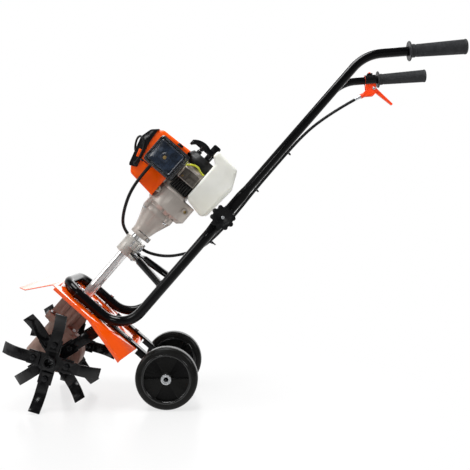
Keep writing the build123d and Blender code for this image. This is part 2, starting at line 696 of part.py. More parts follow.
def tine_guard():
    """Bent sheet over the tines: plate, front flap with an upturned lip, side folds and rear wings."""
    middle = GUARD_TOP - SHEET / 2
    bent = FilletPolyline((GUARD_WIDE_X, middle), (GUARD_FRONT_X, middle), (FLAP_X, middle - FLAP_DROP),
                          (LIP_X, middle - LIP_DROP), radius=5)
    front = extrude(Plane.XZ * trace(bent, line_width=SHEET), amount=GUARD_FRONT_HALF, both=True)
    plate = extrude(Pos(0, 0, GUARD_TOP) * make_face(Polyline(
        (GUARD_FRONT_X + 8, GUARD_FRONT_HALF), (GUARD_WIDE_X, GUARD_WIDE_HALF),
        (GUARD_REAR_X, GUARD_REAR_HALF), (GUARD_REAR_X, -GUARD_REAR_HALF),
        (GUARD_WIDE_X, -GUARD_WIDE_HALF), (GUARD_FRONT_X + 8, -GUARD_FRONT_HALF), close=True)),
        amount=SHEET, dir=(0, 0, -1))
    wide = Vector(GUARD_WIDE_X, GUARD_WIDE_HALF, GUARD_TOP)
    rear = Vector(GUARD_REAR_X, GUARD_REAR_HALF, GUARD_TOP)
    corner = Vector(WING_REAR_X, WING_HALF, GUARD_TOP - WING_DROP)
    outward = (rear - wide).cross(corner - wide).normalized()
    inward = outward * (-1 if outward.Z > 0 else 1)
    wing = sheet(wide, rear, corner, thick=SHEET, towards=inward)
    down = Vector(0, 0, -EDGE_FOLD)
    side_fold = sheet(wide, corner, corner + down, wide + down, thick=SHEET, towards=(0, -1, 0))
    front_end = Vector(GUARD_FRONT_X + 8, GUARD_FRONT_HALF, GUARD_TOP)
    front_fold = sheet(front_end, wide, wide + down, front_end + down, thick=SHEET, towards=(0, -1, 0))
    body = front + plate + both_sides(wing + side_fold + front_fold)
    body -= post(TUBE_R + 1, 0, 2 * GUARD_TOP)
    body -= [Pos(x, y, 0) * post(BOLT_R + BOLT_ROOM, GUARD_TOP - 5, GUARD_TOP + 5) for x, y in guard_holes()]
    return body


def guard_holes():
    """Bolt places through the guard: gearbox neck, frame loop and wheel bracket."""
    places = four_corners(GUARD_BOLT_X, GUARD_BOLT_Y)
    places += [(x, side * FRAME_HALF_LOW) for x in FRAME_BOLT_XS for side in (-1, 1)]
    places += [(x, side * ARM_Y) for x in ARM_BOLT_XS for side in (-1, 1)]
    return places


def frame_tube_y(z):
    """Distance of a rising frame tube from the middle plane at one height."""
    share = (z - FRAME_LOW) / (FRAME_KINK_Z - FRAME_LOW)
    return FRAME_HALF_LOW + share * (FRAME_HALF_HIGH - FRAME_HALF_LOW)


def lower_frame():
    """One bent tube: front crossbar and sides on the guard, then two rising legs with flattened ends."""
    half = [(FRAME_RISE_X, FRAME_HALF_HIGH, FRAME_FLAT_FROM), (FRAME_RISE_X, FRAME_HALF_HIGH, FRAME_KINK_Z),
            (FRAME_RISE_X, FRAME_HALF_LOW, FRAME_LOW), (FRAME_FRONT_X, FRAME_HALF_LOW, FRAME_LOW)]
    route = half + [(x, -y, z) for x, y, z in reversed(half)]
    radii = [FRAME_KINK_R, FRAME_BEND_R, FRAME_CORNER_R]
    path = FilletPolyline(*route, radius=radii + radii[::-1])
    body = sweep_round(path, FRAME_R, FRAME_R - FRAME_WALL)
    end = Pos(FRAME_RISE_X, FRAME_HALF_HIGH, FRAME_FLAT_FROM) * flattened_end(
        FRAME_R, FLAT_WIDTH, FRAME_FLAT, JOINT_Z - FRAME_FLAT_FROM - FLAT_LOFT)
    body += both_sides(end)
    pin = across(post(JOINT_BOLT_R + RUN, -2 * HANDLE_Y, 2 * HANDLE_Y))
    body -= Pos(FRAME_RISE_X, 0, JOINT_Z) * pin
    return body - [Pos(x, side * FRAME_HALF_LOW, 0) * post(BOLT_R + BOLT_ROOM, 0, 2 * GUARD_TOP)
                   for x in FRAME_BOLT_XS for side in (-1, 1)]


def strut():
    """Right-hand strut: flat and bolted on the clamp's shelf, coped to the frame leg it is welded to."""
    lift = SHELF_TOP + STRUT_FLAT / 2
    start = Vector(STRUT_FROM_X, STRUT_FROM_Y)
    foot = Vector(FRAME_RISE_X, frame_tube_y(lift))
    length = (foot - start).length
    turn = math.degrees(math.atan2(foot.Y - start.Y, foot.X - start.X))
    tongue = STRUT_FLAT_WIDTH / 2
    round_from = tongue + STRUT_LOFT
    end = flattened_end(STRUT_R, STRUT_FLAT_WIDTH, STRUT_FLAT, tongue, STRUT_LOFT)
    body = Rot(0, 90, 0) * post(STRUT_R, round_from, length)
    body += Location(Plane(origin=(round_from, 0, 0), x_dir=(0, 1, 0), z_dir=(-1, 0, 0))) * end
    body -= post(BOLT_R + BOLT_ROOM, -STRUT_FLAT, STRUT_FLAT)
    body = Pos(start.X, start.Y, lift) * Rot(0, 0, turn) * body
    rise = (0, FRAME_HALF_HIGH - FRAME_HALF_LOW, FRAME_KINK_Z - FRAME_LOW)
    leg = Location(Plane(origin=(FRAME_RISE_X, FRAME_HALF_LOW, FRAME_LOW), z_dir=rise))
    return body - leg * post(FRAME_R + RUN, 0, FRAME_KINK_Z)


def clamp_barrel():
    """Front of the cast clamp: a barrel on the drive tube with two bolted lugs."""
    body = post(CLAMP_R, CLAMP_LOW, CLAMP_HIGH)
    across_lugs = (-CLAMP_HALF_Y, CLAMP_HALF_Y)
    body += slab((CLAMP_LUG_X, CLAMP_PARTING_X), across_lugs, (CLAMP_HIGH - CLAMP_LUG, CLAMP_HIGH))
    body -= slab((CLAMP_PARTING_X, 2 * CLAMP_R), across_lugs, (0, 2 * CLAMP_HIGH))
    body -= post(TUBE_R + FIT, CLAMP_LOW - 1, CLAMP_HIGH + 1)
    return body - clamp_bolt_holes()


def clamp_saddle():
    """Rear of the cast clamp: bolted plate, spine and the shelf that carries both struts."""
    depth = (CLAMP_PARTING_X + CLAMP_SPLIT, CLAMP_REAR_X)
    levels = (SHELF_TOP - SHELF_THICK, SHELF_TOP)
    body = slab(depth, (-CLAMP_HALF_Y, CLAMP_HALF_Y), (CLAMP_HIGH - CLAMP_LUG, CLAMP_HIGH))
    body += slab(depth, (-CLAMP_SPINE_HALF, CLAMP_SPINE_HALF), (CLAMP_LOW, CLAMP_HIGH))
    wide = STRUT_FROM_Y + SHELF_EDGE
    body += slab((depth[0], STRUT_FROM_X), (-wide, wide), levels)
    for side in (-1, 1):
        body += Pos(STRUT_FROM_X, side * STRUT_FROM_Y, 0) * post(SHELF_EDGE, *levels)
        body -= Pos(STRUT_FROM_X, side * STRUT_FROM_Y, 0) * post(BOLT_R + BOLT_ROOM, CLAMP_LOW, SHELF_TOP + 1)
    return body - clamp_bolt_holes()


def clamp_bolt_places():
    """Places (y, z) of the four bolts through the clamp's lugs."""
    quarter = CLAMP_LUG / 4
    return [(side * CLAMP_BOLT_Y, CLAMP_HIGH - level * quarter) for side in (-1, 1) for level in (1, 3)]


def clamp_bolt_holes():
    """Holes along x for the clamp's bolts."""
    hole = Rot(0, 90, 0) * post(BOLT_R + BOLT_ROOM, -2 * CLAMP_R, 2 * CLAMP_R)
    return [Pos(0, y, z) * hole for y, z in clamp_bolt_places()]


def build_frame():
    """Guard, loop, struts, clamp, wheel bracket and their bolts."""
    add("tine_guard", MACHINE * tine_guard())
    add("lower_frame", MACHINE * lower_frame())
    right_strut = MACHINE * strut()
    add("strut_right", right_strut)
    add("strut_left", left_of(right_strut))
    add("clamp_front", MACHINE * clamp_barrel())
    add("clamp_rear", MACHINE * clamp_saddle())
    add("drive_tube", MACHINE * ring(TUBE_R, TUBE_R - TUBE_WALL, TUBE_LOW, TUBE_HIGH))
    bolts = []
    for y, z in clamp_bolt_places():
        bolts.append(Pos(CLAMP_REAR_X, y, z) * Rot(0, 90, 0) * bolt(CLAMP_REAR_X - CLAMP_LUG_X))
    for side in (-1, 1):
        lift = SHELF_TOP + STRUT_FLAT
        bolts.append(Pos(STRUT_FROM_X, side * STRUT_FROM_Y, lift) * bolt(STRUT_FLAT + SHELF_THICK))
        for x in FRAME_BOLT_XS:
            grip = 2 * FRAME_R + FRAME_LIE + SHEET
            bolts.append(Pos(x, side * FRAME_HALF_LOW, GUARD_TOP + FRAME_LIE + 2 * FRAME_R) * bolt(grip))
        for x in ARM_BOLT_XS:
            bolts.append(Pos(x, side * ARM_Y, GUARD_TOP + ARM_THICK) * bolt(ARM_THICK + SHEET))
    for x, y in four_corners(GUARD_BOLT_X, GUARD_BOLT_Y):
        bolts.append(Pos(x, y, GUARD_TOP) * bolt(SHEET + FLANGE_THICK))
    add("frame_bolts", group([MACHINE * one for one in bolts]))


# Wheels and their bracket

def wheel():
    """Moulded wheel about the y axis: tyre, rim, web with raised sectors, hub and bore."""
    tyre = across(ring(WHEEL_R, RIM_R, -TYRE_HALF, TYRE_HALF))
    rims = tyre.edges().filter_by(GeomType.CIRCLE).sort_by(lambda edge: edge.radius)[-2:]
    tyre = fillet(rims, TYRE_ROUND)
    body = tyre + across(post(RIM_R + 1, -WEB_HALF, WEB_HALF))
    body += across(post(WHEEL_HUB_R, -WHEEL_HUB_HALF, WHEEL_HUB_HALF))
    spread = WHEEL_R * math.tan(math.radians(SECTOR_ANGLE / 2))
    wedge = make_face(Polyline((0, 0), (WHEEL_R, spread), (WHEEL_R, -spread), close=True))
    flat = (Circle(RIM_R + 1) - Circle(WHEEL_HUB_R - 2)) & wedge
    sector = across(extrude(flat, amount=WEB_HALF + SECTOR_RISE, both=True))
    step = 360 / SECTORS
    body += [Rot(0, -SECTOR_PHASE - TILT - step * index, 0) * sector for index in range(SECTORS)]
    return body - across(post(AXLE_R + RUN, -2 * TYRE_HALF, 2 * TYRE_HALF))


def wheel_bracket():
    """Two flat arms on the guard, deepened behind it and joined by the tube that holds the axle."""
    arms = slab((ARM_FRONT_X, AXLE_X), (ARM_Y - ARM_WIDTH / 2, ARM_Y + ARM_WIDTH / 2),
                (GUARD_TOP, GUARD_TOP + ARM_THICK))
    arms -= [Pos(x, ARM_Y, 0) * post(BOLT_R + BOLT_ROOM, 0, 2 * GUARD_TOP) for x in ARM_BOLT_XS]
    outside = ARM_Y + ARM_WIDTH / 2
    top = GUARD_TOP + ARM_THICK
    arms += slab((GUARD_REAR_X + ARM_WEB, AXLE_X), (outside - ARM_WEB, outside), (top - ARM_DEEP, top))
    reach = WHEEL_Y - WHEEL_HUB_HALF - SIDE_GAP
    tube = Pos(AXLE_X, 0, AXLE_Z) * across(post(AXLE_TUBE_R, -reach, reach))
    bore = Pos(AXLE_X, 0, AXLE_Z) * across(post(AXLE_R + FIT, -2 * reach, 2 * reach))
    return both_sides(arms) + tube - bore


def build_wheels():
    """Bracket, axle, washers and both wheels."""
    add("wheel_bracket", MACHINE * wheel_bracket())
    place = MACHINE * Pos(AXLE_X, 0, AXLE_Z)
    washer_y = WHEEL_Y + WHEEL_HUB_HALF + SIDE_GAP
    end = washer_y + WASHER_THICK
    add("wheel_axle", place * across(ring(AXLE_R, AXLE_BORE_R, -end, end)))
    washer = across(ring(WASHER_R, AXLE_R + RUN, washer_y, end))
    add("axle_washers", group([place * washer, place * left_of(washer)]))
    right_wheel = place * Pos(0, WHEEL_Y, 0) * wheel()
    add("wheel_right", right_wheel)
    add("wheel_left", left_of(right_wheel))


# Handlebars, grips, knobs and throttle

GRIP_LEAN = TILT + HANDLE_RISE
GRIP_DIR = Vector(math.cos(math.radians(GRIP_LEAN)), 0, math.sin(math.radians(GRIP_LEAN)))
GRIP_DOWN = Vector(GRIP_DIR.Z, 0, -GRIP_DIR.X)
VERTEX = Vector(FRAME_RISE_X, HANDLE_Y, JOINT_Z + HANDLE_STRAIGHT)


def grip_place(along, drop=0.0):
    """Point beside the right-hand grip tube: distance past the bend's vertex and drop below its axis."""
    return VERTEX + GRIP_DIR * along + GRIP_DOWN * drop


def grip_frame(along, drop=0.0):
    """Frame at that point whose z axis runs along the grip, x axis downwards."""
    return Plane(origin=grip_place(along, drop), x_dir=GRIP_DOWN, z_dir=GRIP_DIR)


def handlebar():
    """Right-hand handlebar: flattened foot on the joint bolt, straight leg, bend and grip tube."""
    leg_from = JOINT_Z + HANDLE_FLAT_LENGTH + FLAT_LOFT
    foot = Pos(FRAME_RISE_X, HANDLE_Y, leg_from) * Rot(180, 0, 0) * flattened_end(
        HANDLE_R, HANDLE_FLAT_WIDTH, HANDLE_FLAT, HANDLE_FLAT_LENGTH)
    path = FilletPolyline((FRAME_RISE_X, HANDLE_Y, leg_from), VERTEX, grip_place(HANDLE_TAIL),
                          radius=HANDLE_BEND_R)
    body = sweep_round(path, HANDLE_R, HANDLE_R - HANDLE_WALL) + foot
    pin = across(post(JOINT_BOLT_R + RUN, -2 * HANDLE_Y, 2 * HANDLE_Y))
    return body - Pos(FRAME_RISE_X, 0, JOINT_Z) * pin


def hand_grip():
    """Rubber sleeve over the tube's end: hand flange, collar, flared body, end lip and closed end."""
    start = HANDLE_TAIL - GRIP_LENGTH
    collar_end = GRIP_FLANGE + GRIP_COLLAR
    lip_from = GRIP_LENGTH + GRIP_END - GRIP_LIP
    lip_r = GRIP_END_R + GRIP_LIP_RISE
    end = GRIP_LENGTH + GRIP_END
    body = lathe((0, 0), (GRIP_FLANGE_R, 0), (GRIP_FLANGE_R, GRIP_FLANGE), (GRIP_COLLAR_R, GRIP_FLANGE + 1),
                 (GRIP_COLLAR_R, collar_end), (GRIP_R, collar_end + 1), (GRIP_END_R, lip_from),
                 (lip_r, lip_from), (lip_r, end - 1), (GRIP_END_R, end), (0, end))
    body -= post(HANDLE_R + FIT, -1, GRIP_LENGTH)
    return Location(grip_frame(start)) * body


def star_knob():
    """Star knob about the y axis, its collar towards the handlebar at y = 0."""
    star = Circle(KNOB_R)
    star += PolarLocations(KNOB_R - 1, KNOB_LOBES) * Circle(KNOB_LOBE_R)
    body = Pos(0, 0, KNOB_COLLAR) * extrude(star, KNOB_THICK)
    body += post(KNOB_COLLAR_R, 0, KNOB_COLLAR)
    body -= post(KNOB_R - 9, KNOB_COLLAR + KNOB_THICK - 2.5, 2 * KNOB_THICK + KNOB_COLLAR)
    body -= post(JOINT_BOLT_R + RUN, -1, 2 * KNOB_THICK + KNOB_COLLAR)
    return across(body)


def stop_axis():
    """Frame of the conduit stop beside the bracket's middle: its z axis points the way the conduit leaves."""
    tilt = math.radians(STOP_TILT)
    leaving = (math.sin(tilt), 0, -math.cos(tilt))
    return Location(Plane(origin=(STOP_DROP, 0, 2 - BRACKET_WIDTH / 2), z_dir=leaving))


def throttle_bracket():
    """Clamp round the grip tube with two cheeks for the lever and a tilted stop for the conduit."""
    outer = HANDLE_R + FIT + BRACKET_WALL
    half = BRACKET_WIDTH / 2
    body = post(outer, -half, half)
    foot = STOP_DROP - CONDUIT_R
    outline = make_face(Plane.XZ * Polyline(
        (0, -half), (foot - 3, -half), (foot, -half - 7), (BRACKET_DROP, -half - 7),
        (BRACKET_DROP, half * 0.3), (BRACKET_DROP * 0.78, half), (0, half), close=True))
    cheek = extrude(outline, amount=BRACKET_WALL / 2, both=True)
    near = LEVER_THICK / 2 + SIDE_GAP
    body += [Pos(0, side * (near + BRACKET_WALL / 2), 0) * cheek for side in (-1, 1)]
    body += stop_axis() * post(CONDUIT_R + STOP_WALL, 0, STOP_LENGTH)
    body -= post(HANDLE_R + FIT, -2 * half, 2 * half)
    body -= stop_axis() * post(CONDUIT_R + FIT, STOP_LENGTH - STOP_DEEP, 2 * STOP_LENGTH)
    body -= Pos(PIVOT_DROP, 0, PIVOT_ALONG) * across(post(RIVET_R + RUN, -2 * half, 2 * half))
    return Location(grip_frame(THROTTLE_ALONG)) * body


def throttle_lever():
    """Tapered finger lever on the bracket's rivet; it falls away from the grip at rest."""
    half = LEVER_THICK / 2
    side = Circle(LEVER_EYE_R)
    side += make_face(Polyline((0, 1 - LEVER_EYE_R), (LEVER_LENGTH, -LEVER_TIP_R),
                               (LEVER_LENGTH, LEVER_TIP_R), (0, LEVER_EYE_R - 1), close=True))
    side += Pos(LEVER_LENGTH, 0) * Circle(LEVER_TIP_R)
    body = Rot(90, 0, 0) * extrude(side, amount=half, both=True)
    out = half + SIDE_GAP + BRACKET_WALL + RIVET_HEAD
    rivet = across(post(RIVET_R, -out, out))
    pivot = grip_place(THROTTLE_ALONG + PIVOT_ALONG, PIVOT_DROP)
    return Pos(pivot.X, pivot.Y, pivot.Z) * Rot(0, LEVER_SLOPE - TILT, 0) * (body + rivet)


def throttle_conduit():
    """Conduit from the throttle bracket down the right side, round the clamp and up to the carburettor."""
    stop = Location(grip_frame(THROTTLE_ALONG)) * stop_axis()
    seat = STOP_LENGTH - STOP_DEEP + FIT
    leaving = [(stop * Pos(0, 0, along)).position for along in (seat, seat + 2 * STOP_LENGTH)]
    leg_x = FRAME_RISE_X + HANDLE_R + CONDUIT_R + 0.4
    joint_x = FRAME_RISE_X + FLAT_WIDTH / 2 + CONDUIT_R + 1.2
    side_y = CLAMP_HALF_Y + 2 * CONDUIT_R
    carb_x, carb_y = CARB_X[0] + 6, -SHROUD_HALF_Y - 9
    points = [tuple(point) for point in leaving]
    points += [(leg_x + 16, HANDLE_Y, JOINT_Z + 407), (leg_x + 3, HANDLE_Y, JOINT_Z + 341),
               (leg_x, HANDLE_Y, JOINT_Z + 261), (leg_x + 0.5, HANDLE_Y, JOINT_Z + 121),
               (joint_x, HANDLE_Y - 5, JOINT_Z + 41), (joint_x, FRAME_HALF_HIGH, JOINT_Z - 39),
               (FRAME_RISE_X + 11, FRAME_HALF_HIGH - 24, JOINT_Z - 103), (124, 104, JOINT_Z - 145),
               (90, 64, CLAMP_HIGH + 10), (41, side_y, CLAMP_HIGH - 15), (8, side_y, CLAMP_HIGH - 13),
               (-22, 26, CLAMP_HIGH - 8), (-46, -4, CLAMP_HIGH + 4), (-60, -26, CLAMP_HIGH + 24),
               (-74, -44, CLAMP_HIGH + 56), (carb_x + 4, carb_y + 9, CARB_Z[0] - 86),
               (carb_x, carb_y, CARB_Z[0] - 44), (carb_x, carb_y, CARB_Z[0] - FIT)]
    return sweep_round(cord_path(points, CONDUIT_BEND_R), CONDUIT_R)


def build_handles():
    """Handlebars, grips, knobs, joint bolts, throttle bracket, lever and conduit."""
    bar = MACHINE * handlebar()
    add("handlebar_right", bar)
    add("handlebar_left", left_of(bar))
    sleeve = MACHINE * hand_grip()
    add("grip_right", sleeve)
    add("grip_left", left_of(sleeve))
    knob_y = HANDLE_Y + HANDLE_FLAT / 2 + SIDE_GAP
    knob = MACHINE * Pos(FRAME_RISE_X, knob_y, JOINT_Z) * star_knob()
    add("knob_right", knob)
    add("knob_left", left_of(knob))
    inner_y = FRAME_HALF_HIGH - FRAME_FLAT / 2
    shank = across(post(JOINT_BOLT_R, inner_y, knob_y + KNOB_COLLAR + KNOB_THICK - 1))
    head = Pos(0, inner_y, 0) * Rot(90, 0, 0) * extrude(RegularPolygon(JOINT_HEAD_R, 6), JOINT_HEAD)
    joint_bolt = MACHINE * Pos(FRAME_RISE_X, 0, JOINT_Z) * (shank + head)
    add("joint_bolts", group([joint_bolt, left_of(joint_bolt)]))
    add("throttle_bracket", MACHINE * throttle_bracket())
    add("throttle_lever", MACHINE * throttle_lever())
    add("throttle_conduit", MACHINE * throttle_conduit())


# Engine

def bell_screw_places():
    """Four screw places on the bell housing's flange."""
    for index in range(4):
        angle = math.radians(45 + 90 * index)
        yield Pos(BELL_SCREW_R * math.cos(angle), BELL_SCREW_R * math.sin(angle), 0)


def pinch_place():
    """Left face of the pinch ear, where its bolt's head sits; the z axis points to the left."""
    return Pos(PINCH_EAR_X - SCREW_HEAD_R, -PINCH_EAR_HALF, COLLAR_LOW + COLLAR_HEIGHT / 2) * Rot(90, 0, 0)


def bell_housing():
    """Cone from the pinch collar on the drive tube to the engine flange, with room for the clutch drum."""
    flange = BELL_HIGH - BELL_FLANGE
    body = lathe((0, COLLAR_LOW), (COLLAR_R, COLLAR_LOW), (COLLAR_R, BELL_LOW), (BELL_R - 4, flange),
                 (BELL_R, flange), (BELL_R, BELL_HIGH), (0, BELL_HIGH))
    for index in range(4):
        rib = Plane.XZ * make_face(Polyline((COLLAR_R - 2, BELL_LOW), (BELL_R - 1, flange),
                                            (COLLAR_R - 2, flange), close=True))
        body += Rot(0, 0, 90 * index) * extrude(rib, amount=3, both=True)
    collar_high = COLLAR_LOW + COLLAR_HEIGHT
    body += slab((0, PINCH_EAR_X), (-PINCH_EAR_HALF, PINCH_EAR_HALF), (COLLAR_LOW, collar_high))
    body += [place * post(BELL_EAR_R, flange, BELL_HIGH) for place in bell_screw_places()]
    body -= post(TUBE_R + FIT, COLLAR_LOW - 1, TUBE_HIGH)
    body -= post(STUB_R + 2, TUBE_HIGH - 1, BELL_HIGH)
    body -= post(STUB_BEARING_R + FIT, STUB_BEARING_LOW, STUB_BEARING_LOW + STUB_BEARING_WIDTH + 2)
    body -= lathe((0, STUB_BEARING_LOW + STUB_BEARING_WIDTH), (12, STUB_BEARING_LOW + STUB_BEARING_WIDTH),
                  (DRUM_ROOM_R - 16, DRUM_LOW - 12), (DRUM_ROOM_R, DRUM_LOW - 1), (DRUM_ROOM_R, BELL_HIGH + 1),
                  (0, BELL_HIGH + 1))
    body -= slab((0, 2 * PINCH_EAR_X), (-SLOT / 2, SLOT / 2), (COLLAR_LOW - 1, collar_high + SLOT))
    body -= slab((-COLLAR_R * 0.2, 2 * PINCH_EAR_X), (-BELL_R, BELL_R), (collar_high, collar_high + SLOT))
    body -= pinch_place() * post(SCREW_R + FIT, -2 * BELL_R, BELL_R)
    return body - [place * post(SCREW_R + FIT, flange - 1, BELL_HIGH + 1) for place in bell_screw_places()]


def clutch_drum():
    """Drum cup on a stub that carries the drive shaft's upper end."""
    cup = lathe((0, DRUM_LOW), (DRUM_R, DRUM_LOW), (DRUM_R, DRUM_HIGH), (DRUM_R - DRUM_WALL, DRUM_HIGH),
                (DRUM_R - DRUM_WALL, DRUM_LOW + 3), (0, DRUM_LOW + 3))
    stub = post(STUB_R, STUB_BEARING_LOW - 2, DRUM_LOW + 1)
    return cup + stub - post(DRIVE_SHAFT_R + FIT, STUB_BEARING_LOW - 3, DRUM_LOW - 8)


def fan_housing():
    """Round fan housing set towards the rear, chamfered below, with inlet slots round the clutch opening."""
    floor = BELL_HIGH
    outline = lathe((0, floor), (FAN_R - FAN_CHAMFER, floor), (FAN_R, floor + FAN_CHAMFER), (FAN_R, FAN_HIGH),
                    (0, FAN_HIGH))
    body = Pos(FAN_X, 0, 0) * outline
    body += post(BELL_R, floor, floor + 10)
    body += [place * post(BELL_EAR_R, floor, floor + 10) for place in bell_screw_places()]
    body += [Pos(x, 0, FAN_EAR_Z) * across(post(FAN_EAR_R, FAN_EAR_Y, 0)) for x in FAN_EAR_XS]
    body -= Pos(FAN_X, 0, 0) * post(FAN_R - FAN_WALL, floor + FAN_CHAMFER, FAN_HIGH + 1)
    body -= post(DRUM_ROOM_R, floor - 1, FAN_HIGH)
    ear_hole = across(post(SCREW_R + FIT, FAN_EAR_Y - 1, FAN_EAR_Y + 11))
    body -= [Pos(x, 0, FAN_EAR_Z) * ear_hole for x in FAN_EAR_XS]
    body -= [place * post(SCREW_R + FIT, floor - 1, floor + 7) for place in bell_screw_places()]
    slot = slab((BELL_R + 2, BELL_R + 12), (-3, 3), (floor - 1, floor + FAN_CHAMFER + 1))
    body -= [Rot(0, 0, -80 + 160 / (FAN_SLOTS - 1) * index) * slot for index in range(FAN_SLOTS)]
    return body


def flywheel():
    """Flywheel disc with straight fan blades on its upper face."""
    high = FLYWHEEL_LOW + FLYWHEEL_THICK
    body = post(FLYWHEEL_R, FLYWHEEL_LOW, high) + post(CRANK_R + 8, high, high + FAN_BLADE_HEIGHT)
    blade = slab((CRANK_R + 6, FLYWHEEL_R - 1), (-1.5, 1.5), (high, high + FAN_BLADE_HEIGHT))
    body += [Rot(0, 0, 360 / FAN_BLADES * index) * blade for index in range(FAN_BLADES)]
    return body - post(CRANK_R + FIT, FLYWHEEL_LOW - 1, high + FAN_BLADE_HEIGHT + 1)


def clutch_shoe():
    """One curved clutch shoe inside the drum."""
    outer = DRUM_R - DRUM_WALL - SHOE_GAP
    low = DRUM_LOW + 5
    body = ring(outer, outer - 11, low, DRUM_HIGH) & slab((4, 2 * outer), (-outer, outer), (low, DRUM_HIGH))
    return body + Pos(outer - 6, 0, 0) * post(4, DRUM_HIGH, FLYWHEEL_LOW)


def crankshaft():
    """Crankshaft with two webs and a crank pin; its front end carries the flywheel."""
    web_out = CRANK_ROOM_HALF - 2
    web_in = web_out - CRANK_WEB
    body = post(CRANK_R, FLYWHEEL_LOW - 6, CYL_Z - web_in) + post(CRANK_R, CYL_Z + web_in, STARTER_HIGH - 14)
    body += post(CRANK_WEB_R, CYL_Z - web_out, CYL_Z - web_in)
    body += post(CRANK_WEB_R, CYL_Z + web_in, CYL_Z + web_out)
    return body + Pos(-CRANK_THROW, 0, 0) * post(CRANK_PIN_R, CYL_Z - web_in, CYL_Z + web_in)


def crankcase():
    """Case behind the fan: mounting face, round crank room, left-hand boss and cylinder seat."""
    low = FAN_HIGH
    face = Pos(FAN_X, 0, 0) * post(FAN_R, low, low + CASE_PLATE)
    body = extrude(Pos((CASE_FRONT_X + CASE_REAR_X) / 2, 0, low) * RectangleRounded(
        CASE_REAR_X - CASE_FRONT_X, 2 * CASE_HALF_Y, 12), CASE_HIGH - low)
    boss = slab((GRILLE_FRONT_X, CASE_REAR_X - 2), (-CASE_HALF_Y - GRILLE_OUT, 0), (GRILLE_HIGH, BOSS_HIGH))
    boss = fillet(boss.edges().filter_by(Axis.Z).sort_by(Axis.Y)[:2], 8)
    limits = slab((CASE_FRONT_X, CASE_REAR_X), (-FAN_R, FAN_R), (low, low + CASE_PLATE))
    body += (face & limits) + boss
    body -= post(CRANK_ROOM_R, CYL_Z - CRANK_ROOM_HALF, CYL_Z + CRANK_ROOM_HALF)
    body -= post(CRANK_R + RUN, low - 1, CASE_HIGH + 1)
    return body


def crankcase_grille():
    """Ribbed cover on the left side of the crankcase."""
    rear = CASE_REAR_X - 2
    out = -CASE_HALF_Y - GRILLE_OUT
    body = slab((GRILLE_FRONT_X, rear), (-CASE_HALF_Y - 5, -CASE_HALF_Y), (GRILLE_LOW, GRILLE_HIGH))
    pitch = (rear - GRILLE_FRONT_X) / GRILLE_RIBS
    for index in range(GRILLE_RIBS):
        left = GRILLE_FRONT_X + pitch * index
        body += slab((left, left + pitch * 0.5), (out, -CASE_HALF_Y - 5), (GRILLE_LOW, GRILLE_HIGH))
    return body


def cylinder():
    """Finned cylinder standing on the crankcase, towards the front and top."""
    along = Rot(0, -90, 0)
    base = -CASE_FRONT_X
    top = -CYL_TOP_X
    body = along * post(CYL_CORE_R, base, top)
    pitch = (top - base - 12) / CYL_FINS
    for index in range(CYL_FINS):
        x = -(base + 12 + pitch * index)
        body += slab((x - FIN_THICK, x), (-FIN_HALF_Y, FIN_HALF_Y), (-FIN_HALF_Z, FIN_HALF_Z))
    body += slab((CASE_FRONT_X - 6, CASE_FRONT_X), (-FIN_HALF_Y, FIN_HALF_Y), (-FIN_HALF_Z, FIN_HALF_Z))
    body += Pos(INTAKE_X, 0, 0) * across(post(INTAKE_R, -FIN_HALF_Y - 5, FIN_HALF_Y + 6))
    return Pos(0, 0, CYL_Z) * body


def shroud_face(inset):
    """Shroud outline moved inwards by one amount (outwards if negative), with rounded corners."""
    face = make_face(Plane.XZ * Polyline(*SHROUD_OUTLINE, close=True))
    points = face.vertices().sort_by(Axis.X)[:-2]
    face = fillet(points, SHROUD_CORNER)
    if inset != 0:
        face = offset(face, amount=-inset, kind=Kind.INTERSECTION)
    return face


def top_shroud():
    """Moulded cover over the cylinder, open towards the crankcase, with side windows and top vents."""
    outer = extrude(shroud_face(0), amount=SHROUD_HALF_Y, both=True)
    rims = outer.faces().sort_by(Axis.Y)
    round_edges = [edge for face in (rims[0], rims[-1]) for edge in face.edges()
                   if edge.center().X < SHROUD_OUTLINE[0][0] - 1]
    outer = fillet(round_edges, SHROUD_EDGE)
    inner = extrude(shroud_face(SHROUD_WALL), amount=SHROUD_HALF_Y - SHROUD_WALL, both=True)
    within = SHROUD_HALF_Y - SHROUD_WALL
    open_side = slab((SHROUD_OUTLINE[0][0] - 4, 0), (-within, within),
                     (SHROUD_OUTLINE[0][1] + SHROUD_WALL, SHROUD_OUTLINE[-1][1] - SHROUD_WALL))
    body = outer - inner - open_side - Pos(FAN_X, 0, 0) * post(FAN_R + FIT, 0, FAN_HIGH + CASE_PLATE + FIT)
    window = Pos(INTAKE_X, 0, CYL_Z) * across(post(INTAKE_R + 5, -2 * SHROUD_HALF_Y, 2 * SHROUD_HALF_Y))
    body -= window
    plug = plug_place() * Box(PLUG_OPENING[0], PLUG_OPENING[1], 30)
    body -= post(STARTER_R + SIDE_GAP, CASE_HIGH - CASE_PLATE, 2 * CASE_HIGH)
    return body - plug


def plug_place():
    """Frame on the shroud's sloping top where the plug boot stands; its z axis points out of the top."""
    low = Vector(SHROUD_OUTLINE[2][0], 0, SHROUD_OUTLINE[2][1])
    high = Vector(SHROUD_OUTLINE[3][0], 0, SHROUD_OUTLINE[3][1])
    along = (high - low).normalized()
    out = Vector(-along.Z, 0, along.X)
    return Location(Plane(origin=low + (high - low) * 0.5, x_dir=along, z_dir=out))


